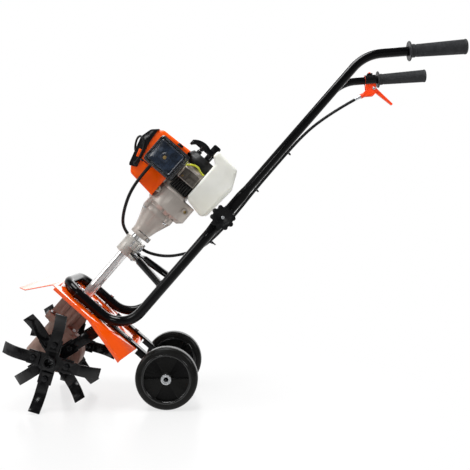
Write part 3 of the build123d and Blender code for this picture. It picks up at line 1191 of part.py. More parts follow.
def shroud_trim():
    """Black saddle over the shroud's sloping front: a cap with side cheeks, open for the plug boot."""
    outer = extrude(shroud_face(-TRIM_THICK), amount=SHROUD_HALF_Y + TRIM_THICK, both=True)
    inner = extrude(shroud_face(0), amount=SHROUD_HALF_Y, both=True)
    corners = SHROUD_OUTLINE[2:5]
    edge = [(x + wide, z + TRIM_THICK) for (x, z), wide in zip(corners, TRIM_WIDTHS)]
    far_x = 2 * corners[1][0]
    region = make_face(Plane.XZ * Polyline(
        (far_x, corners[0][1] - SHROUD_CORNER), (corners[0][0], corners[0][1] - SHROUD_CORNER / 2), *edge,
        (edge[-1][0], 2 * corners[-1][1]), (far_x, 2 * corners[-1][1]), close=True))
    body = (outer - inner) & extrude(region, amount=2 * SHROUD_HALF_Y, both=True)
    return body - plug_place() * Box(PLUG_OPENING[0], PLUG_OPENING[1], 8 * TRIM_THICK)


def plug_boot():
    """Rubber plug boot from the cylinder's top out through the trim."""
    body = post(BOOT_R, CYL_TOP_X, 4 * TRIM_THICK)
    body = fillet(body.edges().sort_by(Axis.Z)[-1], 4)
    outside = slab((2 * SHROUD_OUTLINE[3][0], CYL_TOP_X), (-BOOT_R, BOOT_R), (0, 2 * CYL_Z))
    return (plug_place() * body) & outside


def build_engine_core():
    """Clutch, fan, crank and cylinder pieces on the drive tube's axis."""
    add("bell_housing", MACHINE * bell_housing())
    add("clutch_drum", MACHINE * clutch_drum())
    add("drive_shaft", MACHINE * post(DRIVE_SHAFT_R, WORM_BEARING_Z + 1, DRUM_LOW - 9))
    add("fan_housing", MACHINE * fan_housing())
    add("flywheel", MACHINE * flywheel())
    shoe = MACHINE * clutch_shoe()
    add("clutch_shoes", group([shoe, MACHINE * Rot(0, 0, 180) * clutch_shoe()]))
    add("crankshaft", MACHINE * crankshaft())
    add("crankcase", MACHINE * crankcase())
    add("crankcase_grille", MACHINE * crankcase_grille())
    add("cylinder", MACHINE * cylinder())
    add("top_shroud", MACHINE * top_shroud())
    add("shroud_trim", MACHINE * shroud_trim())
    add("plug_boot", MACHINE * plug_boot())


def soft_box(x, y, z, corner):
    """Box with all edges rounded."""
    body = slab(x, y, z)
    return fillet(body.edges(), corner)


def air_filter():
    """Filter base tray behind a domed cover with a stepped rim."""
    base_y, front_y = FILTER_BASE_Y
    tray = slab(FILTER_X, FILTER_BASE_Y, FILTER_Z)
    tray = fillet(tray.edges().filter_by(Axis.Y), FILTER_CORNER)
    tray -= Pos(INTAKE_X, 0, CYL_Z) * across(post(INTAKE_R - 4, front_y - 1, base_y + 1))
    rim_x = (FILTER_X[0] + FILTER_RIM, FILTER_X[1] - FILTER_RIM)
    rim_z = (FILTER_Z[0] + FILTER_RIM, FILTER_Z[1] - FILTER_RIM)
    step = front_y - 8
    cover = slab(FILTER_X, (front_y, step), FILTER_Z)
    cover = fillet(cover.edges().filter_by(Axis.Y), FILTER_CORNER)
    dome = slab(rim_x, (step, FILTER_FRONT_Y), rim_z)
    dome = fillet(dome.edges().filter_by(Axis.Y), FILTER_CORNER)
    dome = fillet(dome.faces().sort_by(Axis.Y)[0].edges(), 5)
    return tray, cover + dome


def carburettor():
    """Carburettor block on the intake flange, with its venturi barrel."""
    inner_y = -FIN_HALF_Y - 5
    base_y = FILTER_BASE_Y[0]
    body = slab(CARB_X, (base_y + 4, -SHROUD_HALF_Y - 1), CARB_Z)
    body = fillet(body.edges().filter_by(Axis.Y), 5)
    return body + Pos(INTAKE_X, 0, CYL_Z) * across(post(INTAKE_R, base_y, inner_y))


def muffler():
    """Muffler box on the right side of the cylinder, with its seam and outlet."""
    body = soft_box(MUFFLER_X, MUFFLER_Y, MUFFLER_Z, MUFFLER_CORNER)
    middle = (MUFFLER_Y[0] + MUFFLER_Y[1]) / 2
    seam = slab((MUFFLER_X[0] - SEAM, MUFFLER_X[1] + SEAM), (middle - 1, middle + 1),
                (MUFFLER_Z[0] - SEAM, MUFFLER_Z[1] + SEAM))
    seam = fillet(seam.edges().filter_by(Axis.Y), MUFFLER_CORNER)
    port = Pos(INTAKE_X, 0, CYL_Z) * across(post(INTAKE_R, FIN_HALF_Y + 6, MUFFLER_Y[0] + 1))
    outlet = Pos(MUFFLER_X[0] + 16, MUFFLER_Y[1] - 12, MUFFLER_Z[0] - 9)
    pipe = outlet * ring(7, 5.4, 0, 10)
    return body + seam + port + pipe


def fuel_tank():
    """Blow-moulded tank behind the engine: a nose over the starter and a filler neck on the right side."""
    outline = [(x, TUBE_HIGH + rise) for x, rise in TANK_SHAPE]
    side = make_face(Plane.XZ * Polyline(*outline, close=True))
    nose = [corner for corner in side.vertices() if corner.Z > outline[2][1] and corner.X <= outline[0][0]]
    side = fillet(nose, NOSE_CORNER)
    broad = [corner for corner in side.vertices() if corner.Z < outline[-1][1] - NOSE_CORNER or corner.X > CAP_X]
    side = fillet(broad, TANK_CORNER)
    body = extrude(side, amount=TANK_HALF_Y, both=True)
    flats = body.faces().sort_by(Axis.Y)
    body = fillet(flats[0].edges() + flats[-1].edges(), TANK_EDGE)
    neck = Pos(CAP_X, 0, CAP_Z) * across(post(CAP_R - 4, TANK_HALF_Y - 3, TANK_HALF_Y + 6))
    spigot = Pos(*HOSE_TANK) * Rot(0, -90, 0) * post(HOSE_R - HOSE_WALL - FIT, -4, 5)
    return body + neck + spigot


def fuel_line():
    """Clear hose from the carburettor's side to the spigot on the tank."""
    start = Vector(*HOSE_CARB)
    end = Vector(*HOSE_TANK)
    points = [tuple(start), (start.X + 10, start.Y, start.Z), (start.X + 20, start.Y, start.Z + 28),
              (start.X + 46, start.Y + 4, end.Z + 9), (end.X - 14, end.Y, end.Z), (end.X - 0.2, end.Y, end.Z)]
    return sweep_round(cord_path(points, HOSE_BEND_R), HOSE_R, HOSE_R - HOSE_WALL)


def starter_housing():
    """Recoil starter cover behind the crankcase, with vents, a rope guide and a rear foot."""
    low = CASE_HIGH
    body = lathe((0, low), (STARTER_R, low), (STARTER_R, low + 18), (STARTER_R - 9, STARTER_HIGH),
                 (0, STARTER_HIGH))
    flat_side = slab((-2 * STARTER_R, CASE_REAR_X), (-STARTER_R, STARTER_R), (low, STARTER_HIGH))
    body = body & flat_side
    foot = slab((STARTER_FOOT_X - STARTER_FOOT[0] / 2, STARTER_FOOT_X + STARTER_FOOT[0] / 2),
                (-STARTER_FOOT[1] / 2, STARTER_FOOT[1] / 2), (low + 10, STARTER_FOOT_TOP))
    foot = fillet(foot.edges().filter_by(Axis.Z), 4)
    body += Pos(0, STARTER_R - 22, 0) * foot
    guide = Pos(PULL_X, PULL_Y, 0) * post(7, STARTER_HIGH - 4, PULL_LOW - 4)
    body += guide
    body -= post(CRANK_R + 12, low - 1, STARTER_HIGH - 8)
    body -= Pos(PULL_X, PULL_Y, 0) * post(ROPE_R + 0.4, STARTER_HIGH - 12, PULL_LOW)
    slot = slab((STARTER_R - 24, STARTER_R - 12), (-2, 2), (STARTER_HIGH - 12, STARTER_HIGH + 1))
    return body - [Rot(0, 0, 200 + 20 * index) * slot for index in range(5)]


def starter_grip():
    """Arched pull grip with a stem for the rope knot."""
    centre = PULL_LOW + 20 - PULL_ARCH_R
    arch = ring(PULL_ARCH_R, PULL_ARCH_R - PULL_THICK, -PULL_WIDTH / 2, PULL_WIDTH / 2)
    arch = Pos(0, 0, centre) * across(arch)
    span = slab((-PULL_HALF, PULL_HALF), (-PULL_WIDTH, PULL_WIDTH), (STARTER_HIGH + 5, 2 * STARTER_HIGH))
    body = arch & span
    stem = lathe((0, PULL_LOW - 3), (5, PULL_LOW - 3), (8, PULL_LOW + 14), (0, PULL_LOW + 14))
    return Pos(PULL_X, PULL_Y, 0) * (body + stem)


def choke_lever():
    """Small lever under the filter base, about the z axis through its pin."""
    arm = slab((-26, 0), (-4, 4), (-4, -1.5)) + post(5, -4, -1.5) + Pos(-26, 0, 0) * post(4, -7, -1.5)
    pin = post(2, -1.5, 6)
    return Pos(CHOKE_X, CHOKE_Y, FILTER_Z[0]) * (arm + pin)


def build_engine_outer():
    """Intake, fuel, exhaust and starter pieces."""
    tray, cover = air_filter()
    hole = Pos(CHOKE_X, CHOKE_Y, FILTER_Z[0]) * post(2 + RUN, -1, 7)
    add("air_filter_base", MACHINE * (tray - hole))
    add("air_filter_cover", MACHINE * cover)
    add("choke_lever", MACHINE * choke_lever())
    add("carburettor", MACHINE * carburettor())
    add("muffler", MACHINE * muffler())
    add("fuel_tank", MACHINE * fuel_tank())
    cap_low = TANK_HALF_Y + SIDE_GAP
    cap = post(CAP_R, cap_low, cap_low + CAP_HEIGHT) - post(CAP_R - 4 + RUN, cap_low - 1, cap_low + 8)
    flute = Pos(CAP_R + 1, 0, 0) * post(2.4, 0, 2 * TANK_HALF_Y)
    flutes = [Rot(0, 0, 360 / CAP_FLUTES * index) * flute for index in range(CAP_FLUTES)]
    add("fuel_cap", MACHINE * Pos(CAP_X, 0, CAP_Z) * across(cap - flutes))
    add("fuel_line", MACHINE * fuel_line())
    add("starter_housing", MACHINE * starter_housing())
    add("starter_grip", MACHINE * starter_grip())
    rope = Pos(PULL_X, PULL_Y, 0) * post(ROPE_R, STARTER_HIGH - 11, PULL_LOW - 3)
    add("starter_rope", MACHINE * rope)


build_rotor()
build_gearbox()
build_frame()
build_wheels()
build_handles()
build_engine_core()
build_engine_outer()

os.makedirs("parts", exist_ok=True)
for name, shape in nodes.items():
    export_step(shape, f"parts/{name}.step")
print(len(nodes), "pieces")
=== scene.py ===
"""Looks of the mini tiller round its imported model: finishes, fine pieces, cords, camera and studio.

The machine frame used for placing has its z axis along the drive tube, its origin at the point of the tube's axis
nearest the rotor's axis and its x axis to the rear and down. Sizes are in millimetres until a piece is placed.
"""

import json
import logging
import math
from dataclasses import dataclass
from enum import Enum

import bmesh
import bpy
from mathutils import Matrix, Vector


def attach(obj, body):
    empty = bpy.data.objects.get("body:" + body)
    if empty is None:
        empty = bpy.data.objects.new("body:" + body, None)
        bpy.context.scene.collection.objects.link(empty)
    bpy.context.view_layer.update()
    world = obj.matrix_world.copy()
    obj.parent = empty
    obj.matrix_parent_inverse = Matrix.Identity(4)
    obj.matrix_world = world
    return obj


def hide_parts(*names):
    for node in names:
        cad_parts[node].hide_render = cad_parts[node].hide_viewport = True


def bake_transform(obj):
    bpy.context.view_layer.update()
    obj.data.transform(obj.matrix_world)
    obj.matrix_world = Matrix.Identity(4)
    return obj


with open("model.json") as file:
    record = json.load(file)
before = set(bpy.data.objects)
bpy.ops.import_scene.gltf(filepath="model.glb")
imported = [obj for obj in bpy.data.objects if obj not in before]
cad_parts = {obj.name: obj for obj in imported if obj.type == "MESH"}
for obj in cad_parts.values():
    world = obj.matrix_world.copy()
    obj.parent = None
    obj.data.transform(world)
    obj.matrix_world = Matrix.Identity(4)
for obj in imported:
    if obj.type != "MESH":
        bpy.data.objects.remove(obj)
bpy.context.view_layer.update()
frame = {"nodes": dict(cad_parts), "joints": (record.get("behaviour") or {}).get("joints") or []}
LOG = logging.getLogger("mini_tiller")
MM = 0.001
MICRON = 0.000001
WHITE = (1.0, 1.0, 1.0, 1.0)
REAR, RIGHT, UP = Vector((1, 0, 0)), Vector((0, 1, 0)), Vector((0, 0, 1))

Mesh = bmesh.types.BMesh
Node = bpy.types.Node
Socket = bpy.types.NodeSocket
Colour = tuple[int, int, int]
Pair = tuple[float, float]
Triple = tuple[float, float, float]
Profile = tuple[Pair, ...] | list[Pair]
Block = tuple[Triple, float, Triple]


class Side(Enum):
    """Side of the machine, by the sign of Y."""

    LEFT = -1
    RIGHT = 1

    @property
    def word(self) -> str:
        """The side as it stands in names of pieces and bodies."""
        return self.name.lower()


class Body(Enum):
    """Moving bodies that the added pieces ride on."""

    CHASSIS = "chassis"
    ROTOR = "rotor"
    HANDLEBAR_LEFT = "handlebar_left"
    HANDLEBAR_RIGHT = "handlebar_right"
    THROTTLE = "throttle"
    STARTER = "starter_pull"
    WHEEL_LEFT = "wheel_left"
    WHEEL_RIGHT = "wheel_right"


# Shared places


def joint_named(name: str) -> dict:
    """The record's joint of that name."""
    return next(joint for joint in frame["joints"] if joint["name"] == name)


def joint_place(name: str) -> Vector:
    """World place of the record's joint of that name."""
    return Vector(joint_named(name)["pos_m"])


def aimed(origin: Vector | Triple, z_axis: Vector, x_axis: Vector) -> Matrix:
    """Frame with a given origin and z axis, its x axis as near as can be to x_axis.

    Args:
        origin: where the frame stands.
        z_axis: direction of its z axis.
        x_axis: direction that its x axis leans to.

    Returns:
        The frame's matrix.
    """
    z_dir = z_axis.normalized()
    y_dir = z_dir.cross(x_axis).normalized()
    x_dir = y_dir.cross(z_dir)
    return Matrix.Translation(origin) @ Matrix((x_dir, y_dir, z_dir)).transposed().to_4x4()


class MachineFrame:
    """The frame along the drive tube, worked out from the drive and rotor joints.

    Attributes:
        matrix: machine millimetres to world metres.
    """

    def __init__(self) -> None:
        """Read the tube's axis and the rotor's place from the record."""
        up = Vector(joint_named("drive_spin")["axis"]).normalized()
        on_tube = joint_place("drive_spin")
        origin = on_tube + up * (joint_place("rotor_spin") - on_tube).dot(up)
        turn = Matrix((RIGHT.cross(up), RIGHT, up)).transposed().to_4x4()
        self.matrix = Matrix.Translation(origin) @ turn @ Matrix.Scale(MM, 4)

    def point(self, place: Vector | Triple) -> Vector:
        """World point of a place in machine millimetres."""
        return self.matrix @ Vector(place)

    def stand(self, place: Vector | Triple, z_axis: Vector = -RIGHT, x_axis: Vector = REAR) -> Matrix:
        """World matrix of a small frame at a place in machine millimetres, facing left unless told otherwise."""
        return self.matrix @ aimed(place, z_axis, x_axis)


MACHINE = MachineFrame()


def world_stand(place: Vector, side: Side) -> Matrix:
    """World matrix of a small frame at a world place, facing one side, for a mesh in millimetres."""
    return aimed(place, RIGHT * side.value, REAR) @ Matrix.Scale(MM, 4)


# Nodes of the finishes

MOTTLE_RANGE = (0.3, 0.7)
# Turn of the normal where the painted edge highlight starts, and how it is broken up.
EDGE_TURN = (0.98, 0.80)
EDGE_BREAKS = (0.35, 0.6, 0.25, 1.0)


def linear(colour: Colour) -> tuple[float, ...]:
    """Linear colour of a display colour given in 0 to 255."""
    shares = [value / 255 for value in colour]
    return *(share / 12.92 if share <= 0.04045 else ((share + 0.055) / 1.055) ** 2.4 for share in shares), 1.0


class NodeSheet:
    """A node tree with short calls to add and join nodes."""

    def __init__(self, tree: bpy.types.NodeTree) -> None:
        """Work on one tree."""
        self.tree = tree

    def feed(self, node: Node, inputs: dict) -> None:
        """Set inputs of a node.

        Args:
            node: the node.
            inputs: values, or output sockets to join, by the inputs' names or indices.
        """
        for name, value in inputs.items():
            if isinstance(value, Socket):
                self.tree.links.new(value, node.inputs[name])
            else:
                node.inputs[name].default_value = value

    def add(self, kind: str, inputs: dict | None = None, **settings: object) -> Node:
        """Add a shader node.

        Args:
            kind: the end of its type's name.
            inputs: what its inputs get, as in feed.
            settings: the node's own properties.

        Returns:
            The node.
        """
        node = self.tree.nodes.new("ShaderNode" + kind)
        for name, value in settings.items():
            setattr(node, name, value)
        self.feed(node, inputs or {})
        return node

    def mix(self, factor: object, first: object, second: object) -> Socket:
        """Colour between two colours."""
        return self.add("Mix", {0: factor, 6: first, 7: second}, data_type="RGBA").outputs[2]

    def maths(self, operation: str, first: object, second: object = 0.0) -> Socket:
        """One sum on two values."""
        return self.add("Math", {0: first, 1: second}, operation=operation).outputs[0]

    def spread(self, value: object, low: float, high: float, to_low: float = 0.0, to_high: float = 1.0) -> Socket:
        """Value moved from one range to another and held inside it."""
        return self.add("MapRange", {0: value, 1: low, 2: high, 3: to_low, 4: to_high}).outputs[0]

    def place(self) -> Socket:
        """Place on a piece, in its own frame."""
        return self.add("TexCoord").outputs["Object"]

    def along(self, axis: str, place: Socket) -> Socket:
        """One coordinate of a place."""
        return self.add("SeparateXYZ", {0: place}).outputs[axis]

    def away(self, place: Socket, centre: Triple, scale: Triple = (1.0, 1.0, 1.0)) -> Socket:
        """Distance of a place from a centre, along the axes that scale leaves."""
        offset = self.add("Mapping", {"Vector": place, "Location": [-part for part in centre], "Scale": scale})
        return self.add("VectorMath", {0: offset.outputs[0]}, operation="LENGTH").outputs["Value"]

    def noise(self, place: Socket, scale: object, detail: float) -> Socket:
        """Soft noise over a place."""
        return self.add("TexNoise", {"Vector": place, "Scale": scale, "Detail": detail}).outputs[0]

    def rays(self, *kinds: str) -> Socket:
        """Mask of the light rays of some kinds.

        Args:
            kinds: the kinds' names.

        Returns:
            1 for a ray of any of them, else 0.
        """
        path = self.add("LightPath")
        mask, *others = (path.outputs[f"Is {kind} Ray"] for kind in kinds)
        for other in others:
            mask = self.maths("MAXIMUM", mask, other)
        return mask


def new_material(name: str) -> tuple[bpy.types.Material, NodeSheet, Node]:
    """Start a material.

    Args:
        name: its name.

    Returns:
        The material, its sheet and its surface shader.
    """
    made = bpy.data.materials.new(name)
    made.use_nodes = True
    return made, NodeSheet(made.node_tree), made.node_tree.nodes["Principled BSDF"]


def new_group(name: str, inputs: dict[str, float], output: str) -> tuple[NodeSheet, dict[str, Socket], Node]:
    """Start a shader node group.

    Args:
        name: the group's name.
        inputs: number inputs and their first values.
        output: the number that it gives.

    Returns:
        The sheet to add nodes on, its input sockets by name and its output node.
    """
    tree = bpy.data.node_groups.new(name, "ShaderNodeTree")
    for label, value in inputs.items():
        tree.interface.new_socket(name=label, in_out="INPUT", socket_type="NodeSocketFloat").default_value = value
    tree.interface.new_socket(name=output, in_out="OUTPUT", socket_type="NodeSocketFloat")
    start, end = tree.nodes.new("NodeGroupInput"), tree.nodes.new("NodeGroupOutput")
    return NodeSheet(tree), {label: start.outputs[label] for label in inputs}, end


def make_mottle() -> bpy.types.NodeTree:
    """Soft uneven tone over a surface, from 0 to 1.

    Returns:
        The group.
    """
    sheet, given, end = new_group("mottle", {"Scale": 30.0}, "Tone")
    broad = sheet.noise(sheet.place(), given["Scale"], detail=4.0)
    sheet.feed(end, {"Tone": sheet.spread(broad, *MOTTLE_RANGE)})
    return sheet.tree


def make_edge_highlight() -> bpy.types.NodeTree:
    """Mask along outer edges, broken up a little, where a lighter colour is painted on as a highlight of the light
    that edges catch.

    Returns:
        The group.
    """
    sheet, given, end = new_group("edge", {"Radius": 0.0008, "Break": 220.0}, "Mask")
    round_normal = sheet.add("Bevel", {"Radius": given["Radius"]}, samples=4).outputs[0]
    flat_normal = sheet.add("NewGeometry").outputs["Normal"]
    facing = sheet.add("VectorMath", {0: round_normal, 1: flat_normal}, operation="DOT_PRODUCT").outputs["Value"]
    broken = sheet.spread(sheet.noise(sheet.place(), given["Break"], detail=3.0), *EDGE_BREAKS)
    sheet.feed(end, {"Mask": sheet.maths("MULTIPLY", sheet.spread(facing, *EDGE_TURN), broken)})
    return sheet.tree


def make_grain() -> bpy.types.NodeTree:
    """Fine height pattern: noise with a share of small cells, as on moulded or cast skins.

    Returns:
        The group.
    """
    sheet, given, end = new_group("grain", {"Scale": 600.0, "Cells": 0.3}, "Height")
    place = sheet.place()
    cells = sheet.add("TexVoronoi", {"Vector": place, "Scale": given["Scale"]}).outputs["Distance"]
    share = sheet.maths("MULTIPLY", cells, given["Cells"])
    sheet.feed(end, {"Height": sheet.maths("ADD", sheet.noise(place, given["Scale"], detail=3.0), share)})
    return sheet.tree


MOTTLE, EDGE_HIGHLIGHT, GRAIN = make_mottle(), make_edge_highlight(), make_grain()


# Finishes


@dataclass(frozen=True)
class Finish:
    """A surface finish: tone, gloss, grain and a lighter colour painted along its edges as a highlight.

    Attributes:
        name: the finish's name, which its material's name starts with.
        colour: main colour, a display colour like the other ones.
        shade: second colour of the uneven tone.
        edge: lighter colour painted along outer edges, a painted highlight.
        edge_highlight_share: how strongly that colour shows.
        roughness: lowest and highest roughness.
        patch: size of the uneven tone, in patches per metre.
        grain: grain pattern per metre.
        depth: height of the grain in microns.
        cells: share of small cells in the grain.
        metallic: metalness of the whole surface.
        specular: strength of the plain reflection.
        coat: strength of a clear coat.
        coat_roughness: roughness of that coat.
    """

    name: str
    colour: Colour
    shade: Colour
    edge: Colour
    edge_highlight_share: float
    roughness: Pair
    patch: float
    grain: float
    depth: float
    cells: float = 0.3
    metallic: float = 0.0
    specular: float = 0.5
    coat: float = 0.0
    coat_roughness: float = 0.08

    def colours(self, sheet: NodeSheet, tone: Socket) -> Socket:
        """Colour before edges are added."""
        return sheet.mix(tone, linear(self.colour), linear(self.shade))

    def height(self, sheet: NodeSheet) -> Socket:
        """Grain height."""
        return sheet.add("Group", {"Scale": self.grain, "Cells": self.cells}, node_tree=GRAIN).outputs["Height"]

    def extra(self) -> dict[str, object]:
        """Further inputs of the shader in one kind of finish."""
        return {}

    def material(self) -> bpy.types.Material:
        """The finish's material, made once.

        Returns:
            The material.
        """
        label = f"{self.name}_finish"
        known = bpy.data.materials.get(label)
        if known is not None:
            return known
        made, sheet, shader = new_material(label)
        tone = sheet.add("Group", {"Scale": self.patch}, node_tree=MOTTLE).outputs["Tone"]
        # The edge colour mixed in over this mask is a painted highlight.
        mask = sheet.add("Group", node_tree=EDGE_HIGHLIGHT).outputs["Mask"]
        edge_highlight_share = sheet.maths("MULTIPLY", mask, self.edge_highlight_share)
        bump = sheet.add("Bump", {"Strength": 1.0, "Distance": self.depth * MICRON, "Height": self.height(sheet)})
        sheet.feed(shader, {
            "Base Color": sheet.mix(edge_highlight_share, self.colours(sheet, tone), linear(self.edge)),
            "Roughness": sheet.spread(tone, 0.0, 1.0, *self.roughness), "Normal": bump.outputs[0],
            "Metallic": self.metallic, "Specular IOR Level": self.specular, "Coat Weight": self.coat,
            "Coat Roughness": self.coat_roughness, **self.extra()})
        return made


@dataclass(frozen=True)
class BrushedFinish(Finish):
    """Metal with fine lines along one axis of the piece."""

    lines: Triple = (1.0, 1.0, 0.06)

    def height(self, sheet: NodeSheet) -> Socket:
        """Long scratches instead of grain."""
        drawn = sheet.add("Mapping", {"Vector": sheet.place(), "Scale": self.lines})
        return sheet.noise(drawn.outputs[0], self.grain, detail=2.0)


@dataclass(frozen=True)
class TankFinish(Finish):
    """Milky plastic that light passes into, a little darker where fuel stands behind it.

    Attributes:
        fuel: colour where fuel stands behind the wall, fuel_share how strongly it shows.
        fuel_level: heights between which it fades out.
        scatter: weight, radius and scale of the light that spreads inside the wall.
    """

    fuel: Colour = (226, 222, 205)
    fuel_share: float = 0.35
    fuel_level: Pair = (0.50, 0.54)
    scatter: tuple[float, Triple, float] = (0.35, (0.02, 0.02, 0.018), 0.5)

    def colours(self, sheet: NodeSheet, tone: Socket) -> Socket:
        """Milky wall with the fuel's tone below its level."""
        wet = sheet.spread(sheet.along("Z", sheet.place()), *self.fuel_level, self.fuel_share, 0.0)
        return sheet.mix(wet, super().colours(sheet, tone), linear(self.fuel))

    def extra(self) -> dict[str, object]:
        """Light spreads inside the wall."""
        return dict(zip(("Subsurface Weight", "Subsurface Radius", "Subsurface Scale"), self.scatter))


@dataclass(frozen=True)
class WheelFinish(Finish):
    """Moulded wheel: dark web with raised sectors coloured lighter as a painted sheen for the light they catch, and a
    satin tyre beyond the rim.

    Attributes:
        centre: the axle's place in the machine's middle plane.
        rim: radii between which the tyre begins.
        middle: distance of each wheel's middle from the machine's.
        web: distances from a wheel's middle of its web and of its raised sectors.
        painted_sector_sheen: colour of the raised sectors.
        tyre: second colour of the tyre.
    """

    centre: Triple = (0.0, 0.0, 0.0)
    rim: Pair = (0.0555, 0.0565)
    middle: float = 0.113
    web: Pair = (0.007, 0.012)
    painted_sector_sheen: Colour = (17, 17, 16)
    tyre: Colour = (27, 27, 26)

    def colours(self, sheet: NodeSheet, tone: Socket) -> Socket:
        """Tyre, web and sectors, told apart by their distances from the axle and from the wheel's middle; the
        sectors' lighter colour is a painted sheen.

        Args:
            sheet: the material's sheet.
            tone: the uneven tone.

        Returns:
            The colour.
        """
        place = sheet.place()
        outside = sheet.spread(sheet.away(place, self.centre, scale=(1.0, 0.0, 1.0)), *self.rim)
        across = sheet.maths("ABSOLUTE", sheet.along("Y", place))
        from_middle = sheet.maths("ABSOLUTE", sheet.maths("SUBTRACT", across, self.middle))
        # Raised sectors painted lighter than the web: a painted sheen.
        face = sheet.mix(sheet.spread(from_middle, *self.web), linear(self.colour), linear(self.painted_sector_sheen))
        return sheet.mix(outside, face, sheet.mix(tone, linear(self.shade), linear(self.tyre)))


# Grey painted along the edges of black parts: a painted highlight.
BLACK_EDGE_HIGHLIGHT = (58, 60, 64)

GUARD_PAINT = Finish(
    "guard_paint", (255, 92, 8), (250, 82, 2), (255, 146, 84), 0.35, (0.1, 0.18),
    patch=25, grain=420, depth=10, cells=0.0, specular=0.7, coat=1.0)
SHROUD_PLASTIC = Finish(
    "shroud_plastic", (255, 94, 2), (252, 84, 0), (255, 150, 80), 0.3, (0.26, 0.36),
    patch=35, grain=900, depth=20, specular=0.22)
THROTTLE_PLASTIC = Finish(
    "throttle_plastic", (255, 76, 22), (248, 64, 12), (255, 142, 100), 0.3, (0.3, 0.42),
    patch=60, grain=1100, depth=30, specular=0.3)
FRAME_PAINT = Finish(
    "frame_paint", (8, 8, 9), (12, 12, 13), BLACK_EDGE_HIGHLIGHT, 0.2, (0.08, 0.15),
    patch=18, grain=500, depth=8, cells=0.0, specular=0.2)
TINE_PAINT = Finish(
    "tine_paint", (8, 8, 9), (15, 15, 17), (84, 86, 92), 0.45, (0.12, 0.22),
    patch=55, grain=380, depth=10, specular=0.4)
# The bolts' light edge colour is a painted highlight on their heads.
BOLT_BLACK = Finish(
    "bolt_black", (30, 31, 33), (20, 20, 22), (150, 152, 156), 0.7, (0.16, 0.26),
    patch=90, grain=700, depth=10, metallic=0.5)
CHROME = Finish(
    "tube_chrome", (248, 248, 247), (240, 240, 240), (250, 250, 250), 0.3, (0.1, 0.14),
    patch=30, grain=300, depth=1, cells=0.0, metallic=0.7)
CASTING = Finish(
    "light_casting", (196, 188, 180), (182, 173, 165), (228, 225, 220), 0.7, (0.34, 0.46),
    patch=45, grain=900, depth=70, cells=0.5, metallic=0.35)
CLAMP_CASTING = Finish(
    "clamp_casting", (198, 195, 189), (182, 178, 171), (236, 234, 230), 0.7, (0.3, 0.42),
    patch=45, grain=900, depth=60, cells=0.5, metallic=0.35)
ROUGH_CASTING = Finish(
    "rough_casting", (112, 106, 98), (84, 78, 72), (168, 162, 154), 0.6, (0.4, 0.58),
    patch=160, grain=700, depth=200, cells=0.7, metallic=0.4)
# The warm brown tint of this casting is a painted reflection of the orange guard above the gearbox.
GEARBOX_CASTING_ORANGE_BOUNCE = Finish(
    "gearbox_casting", (156, 128, 116), (124, 100, 90), (182, 160, 148), 0.4, (0.42, 0.6),
    patch=60, grain=520, depth=220, cells=0.7, specular=0.3)
STEEL = BrushedFinish(
    "zinc_steel", (222, 224, 226), (196, 199, 202), (240, 241, 242), 0.4, (0.2, 0.34),
    patch=90, grain=900, depth=20, metallic=0.75)
HOT_STEEL = Finish(
    "heat_dark_steel", (74, 72, 70), (58, 54, 52), (120, 116, 112), 0.4, (0.4, 0.58),
    patch=60, grain=500, depth=80, metallic=0.8)
IRON = Finish(
    "flywheel_iron", (112, 112, 114), (92, 92, 95), (150, 150, 152), 0.4, (0.45, 0.6),
    patch=60, grain=600, depth=200, metallic=0.8)
BRONZE = BrushedFinish(
    "gear_bronze", (196, 148, 78), (170, 122, 62), (224, 184, 120), 0.4, (0.28, 0.4),
    patch=60, grain=800, depth=20, metallic=1.0)
DULL_BRASS = BrushedFinish(
    "dull_brass", (176, 148, 96), (142, 118, 72), (216, 196, 150), 0.5, (0.3, 0.42),
    patch=120, grain=1200, depth=20, metallic=0.9)
PLASTIC = Finish(
    "black_plastic", (8, 8, 10), (13, 13, 15), (66, 70, 78), 0.45, (0.16, 0.26),
    patch=50, grain=1300, depth=10, cells=0.5, specular=0.4)
MATT_PLASTIC = Finish(
    "matt_plastic", (16, 17, 18), (22, 23, 24), BLACK_EDGE_HIGHLIGHT, 0.1, (0.36, 0.48),
    patch=80, grain=900, depth=30, specular=0.25)
KNOB_PLASTIC = Finish(
    "knob_plastic", (10, 11, 13), (15, 16, 18), (56, 60, 68), 0.4, (0.24, 0.36),
    patch=50, grain=1500, depth=20, specular=0.35)
# The near-white edge colour paints the thin highlight lines along the filter frame's edges.
FILTER_FRAME_EDGE_HIGHLIGHTS = Finish(
    "filter_frame", (6, 7, 9), (13, 15, 18), (190, 194, 200), 0.85, (0.06, 0.16),
    patch=60, grain=1100, depth=6, cells=0.4, coat=0.6)
# The lighter blue second tone paints mottled reflections over the dark panel, and its edge colour is a painted
# highlight.
FILTER_PANEL_PAINTED_REFLECTIONS = Finish(
    "filter_panel", (12, 16, 22), (44, 56, 74), (170, 176, 186), 0.5, (0.06, 0.16),
    patch=60, grain=1100, depth=6, cells=0.4, coat=1.0)
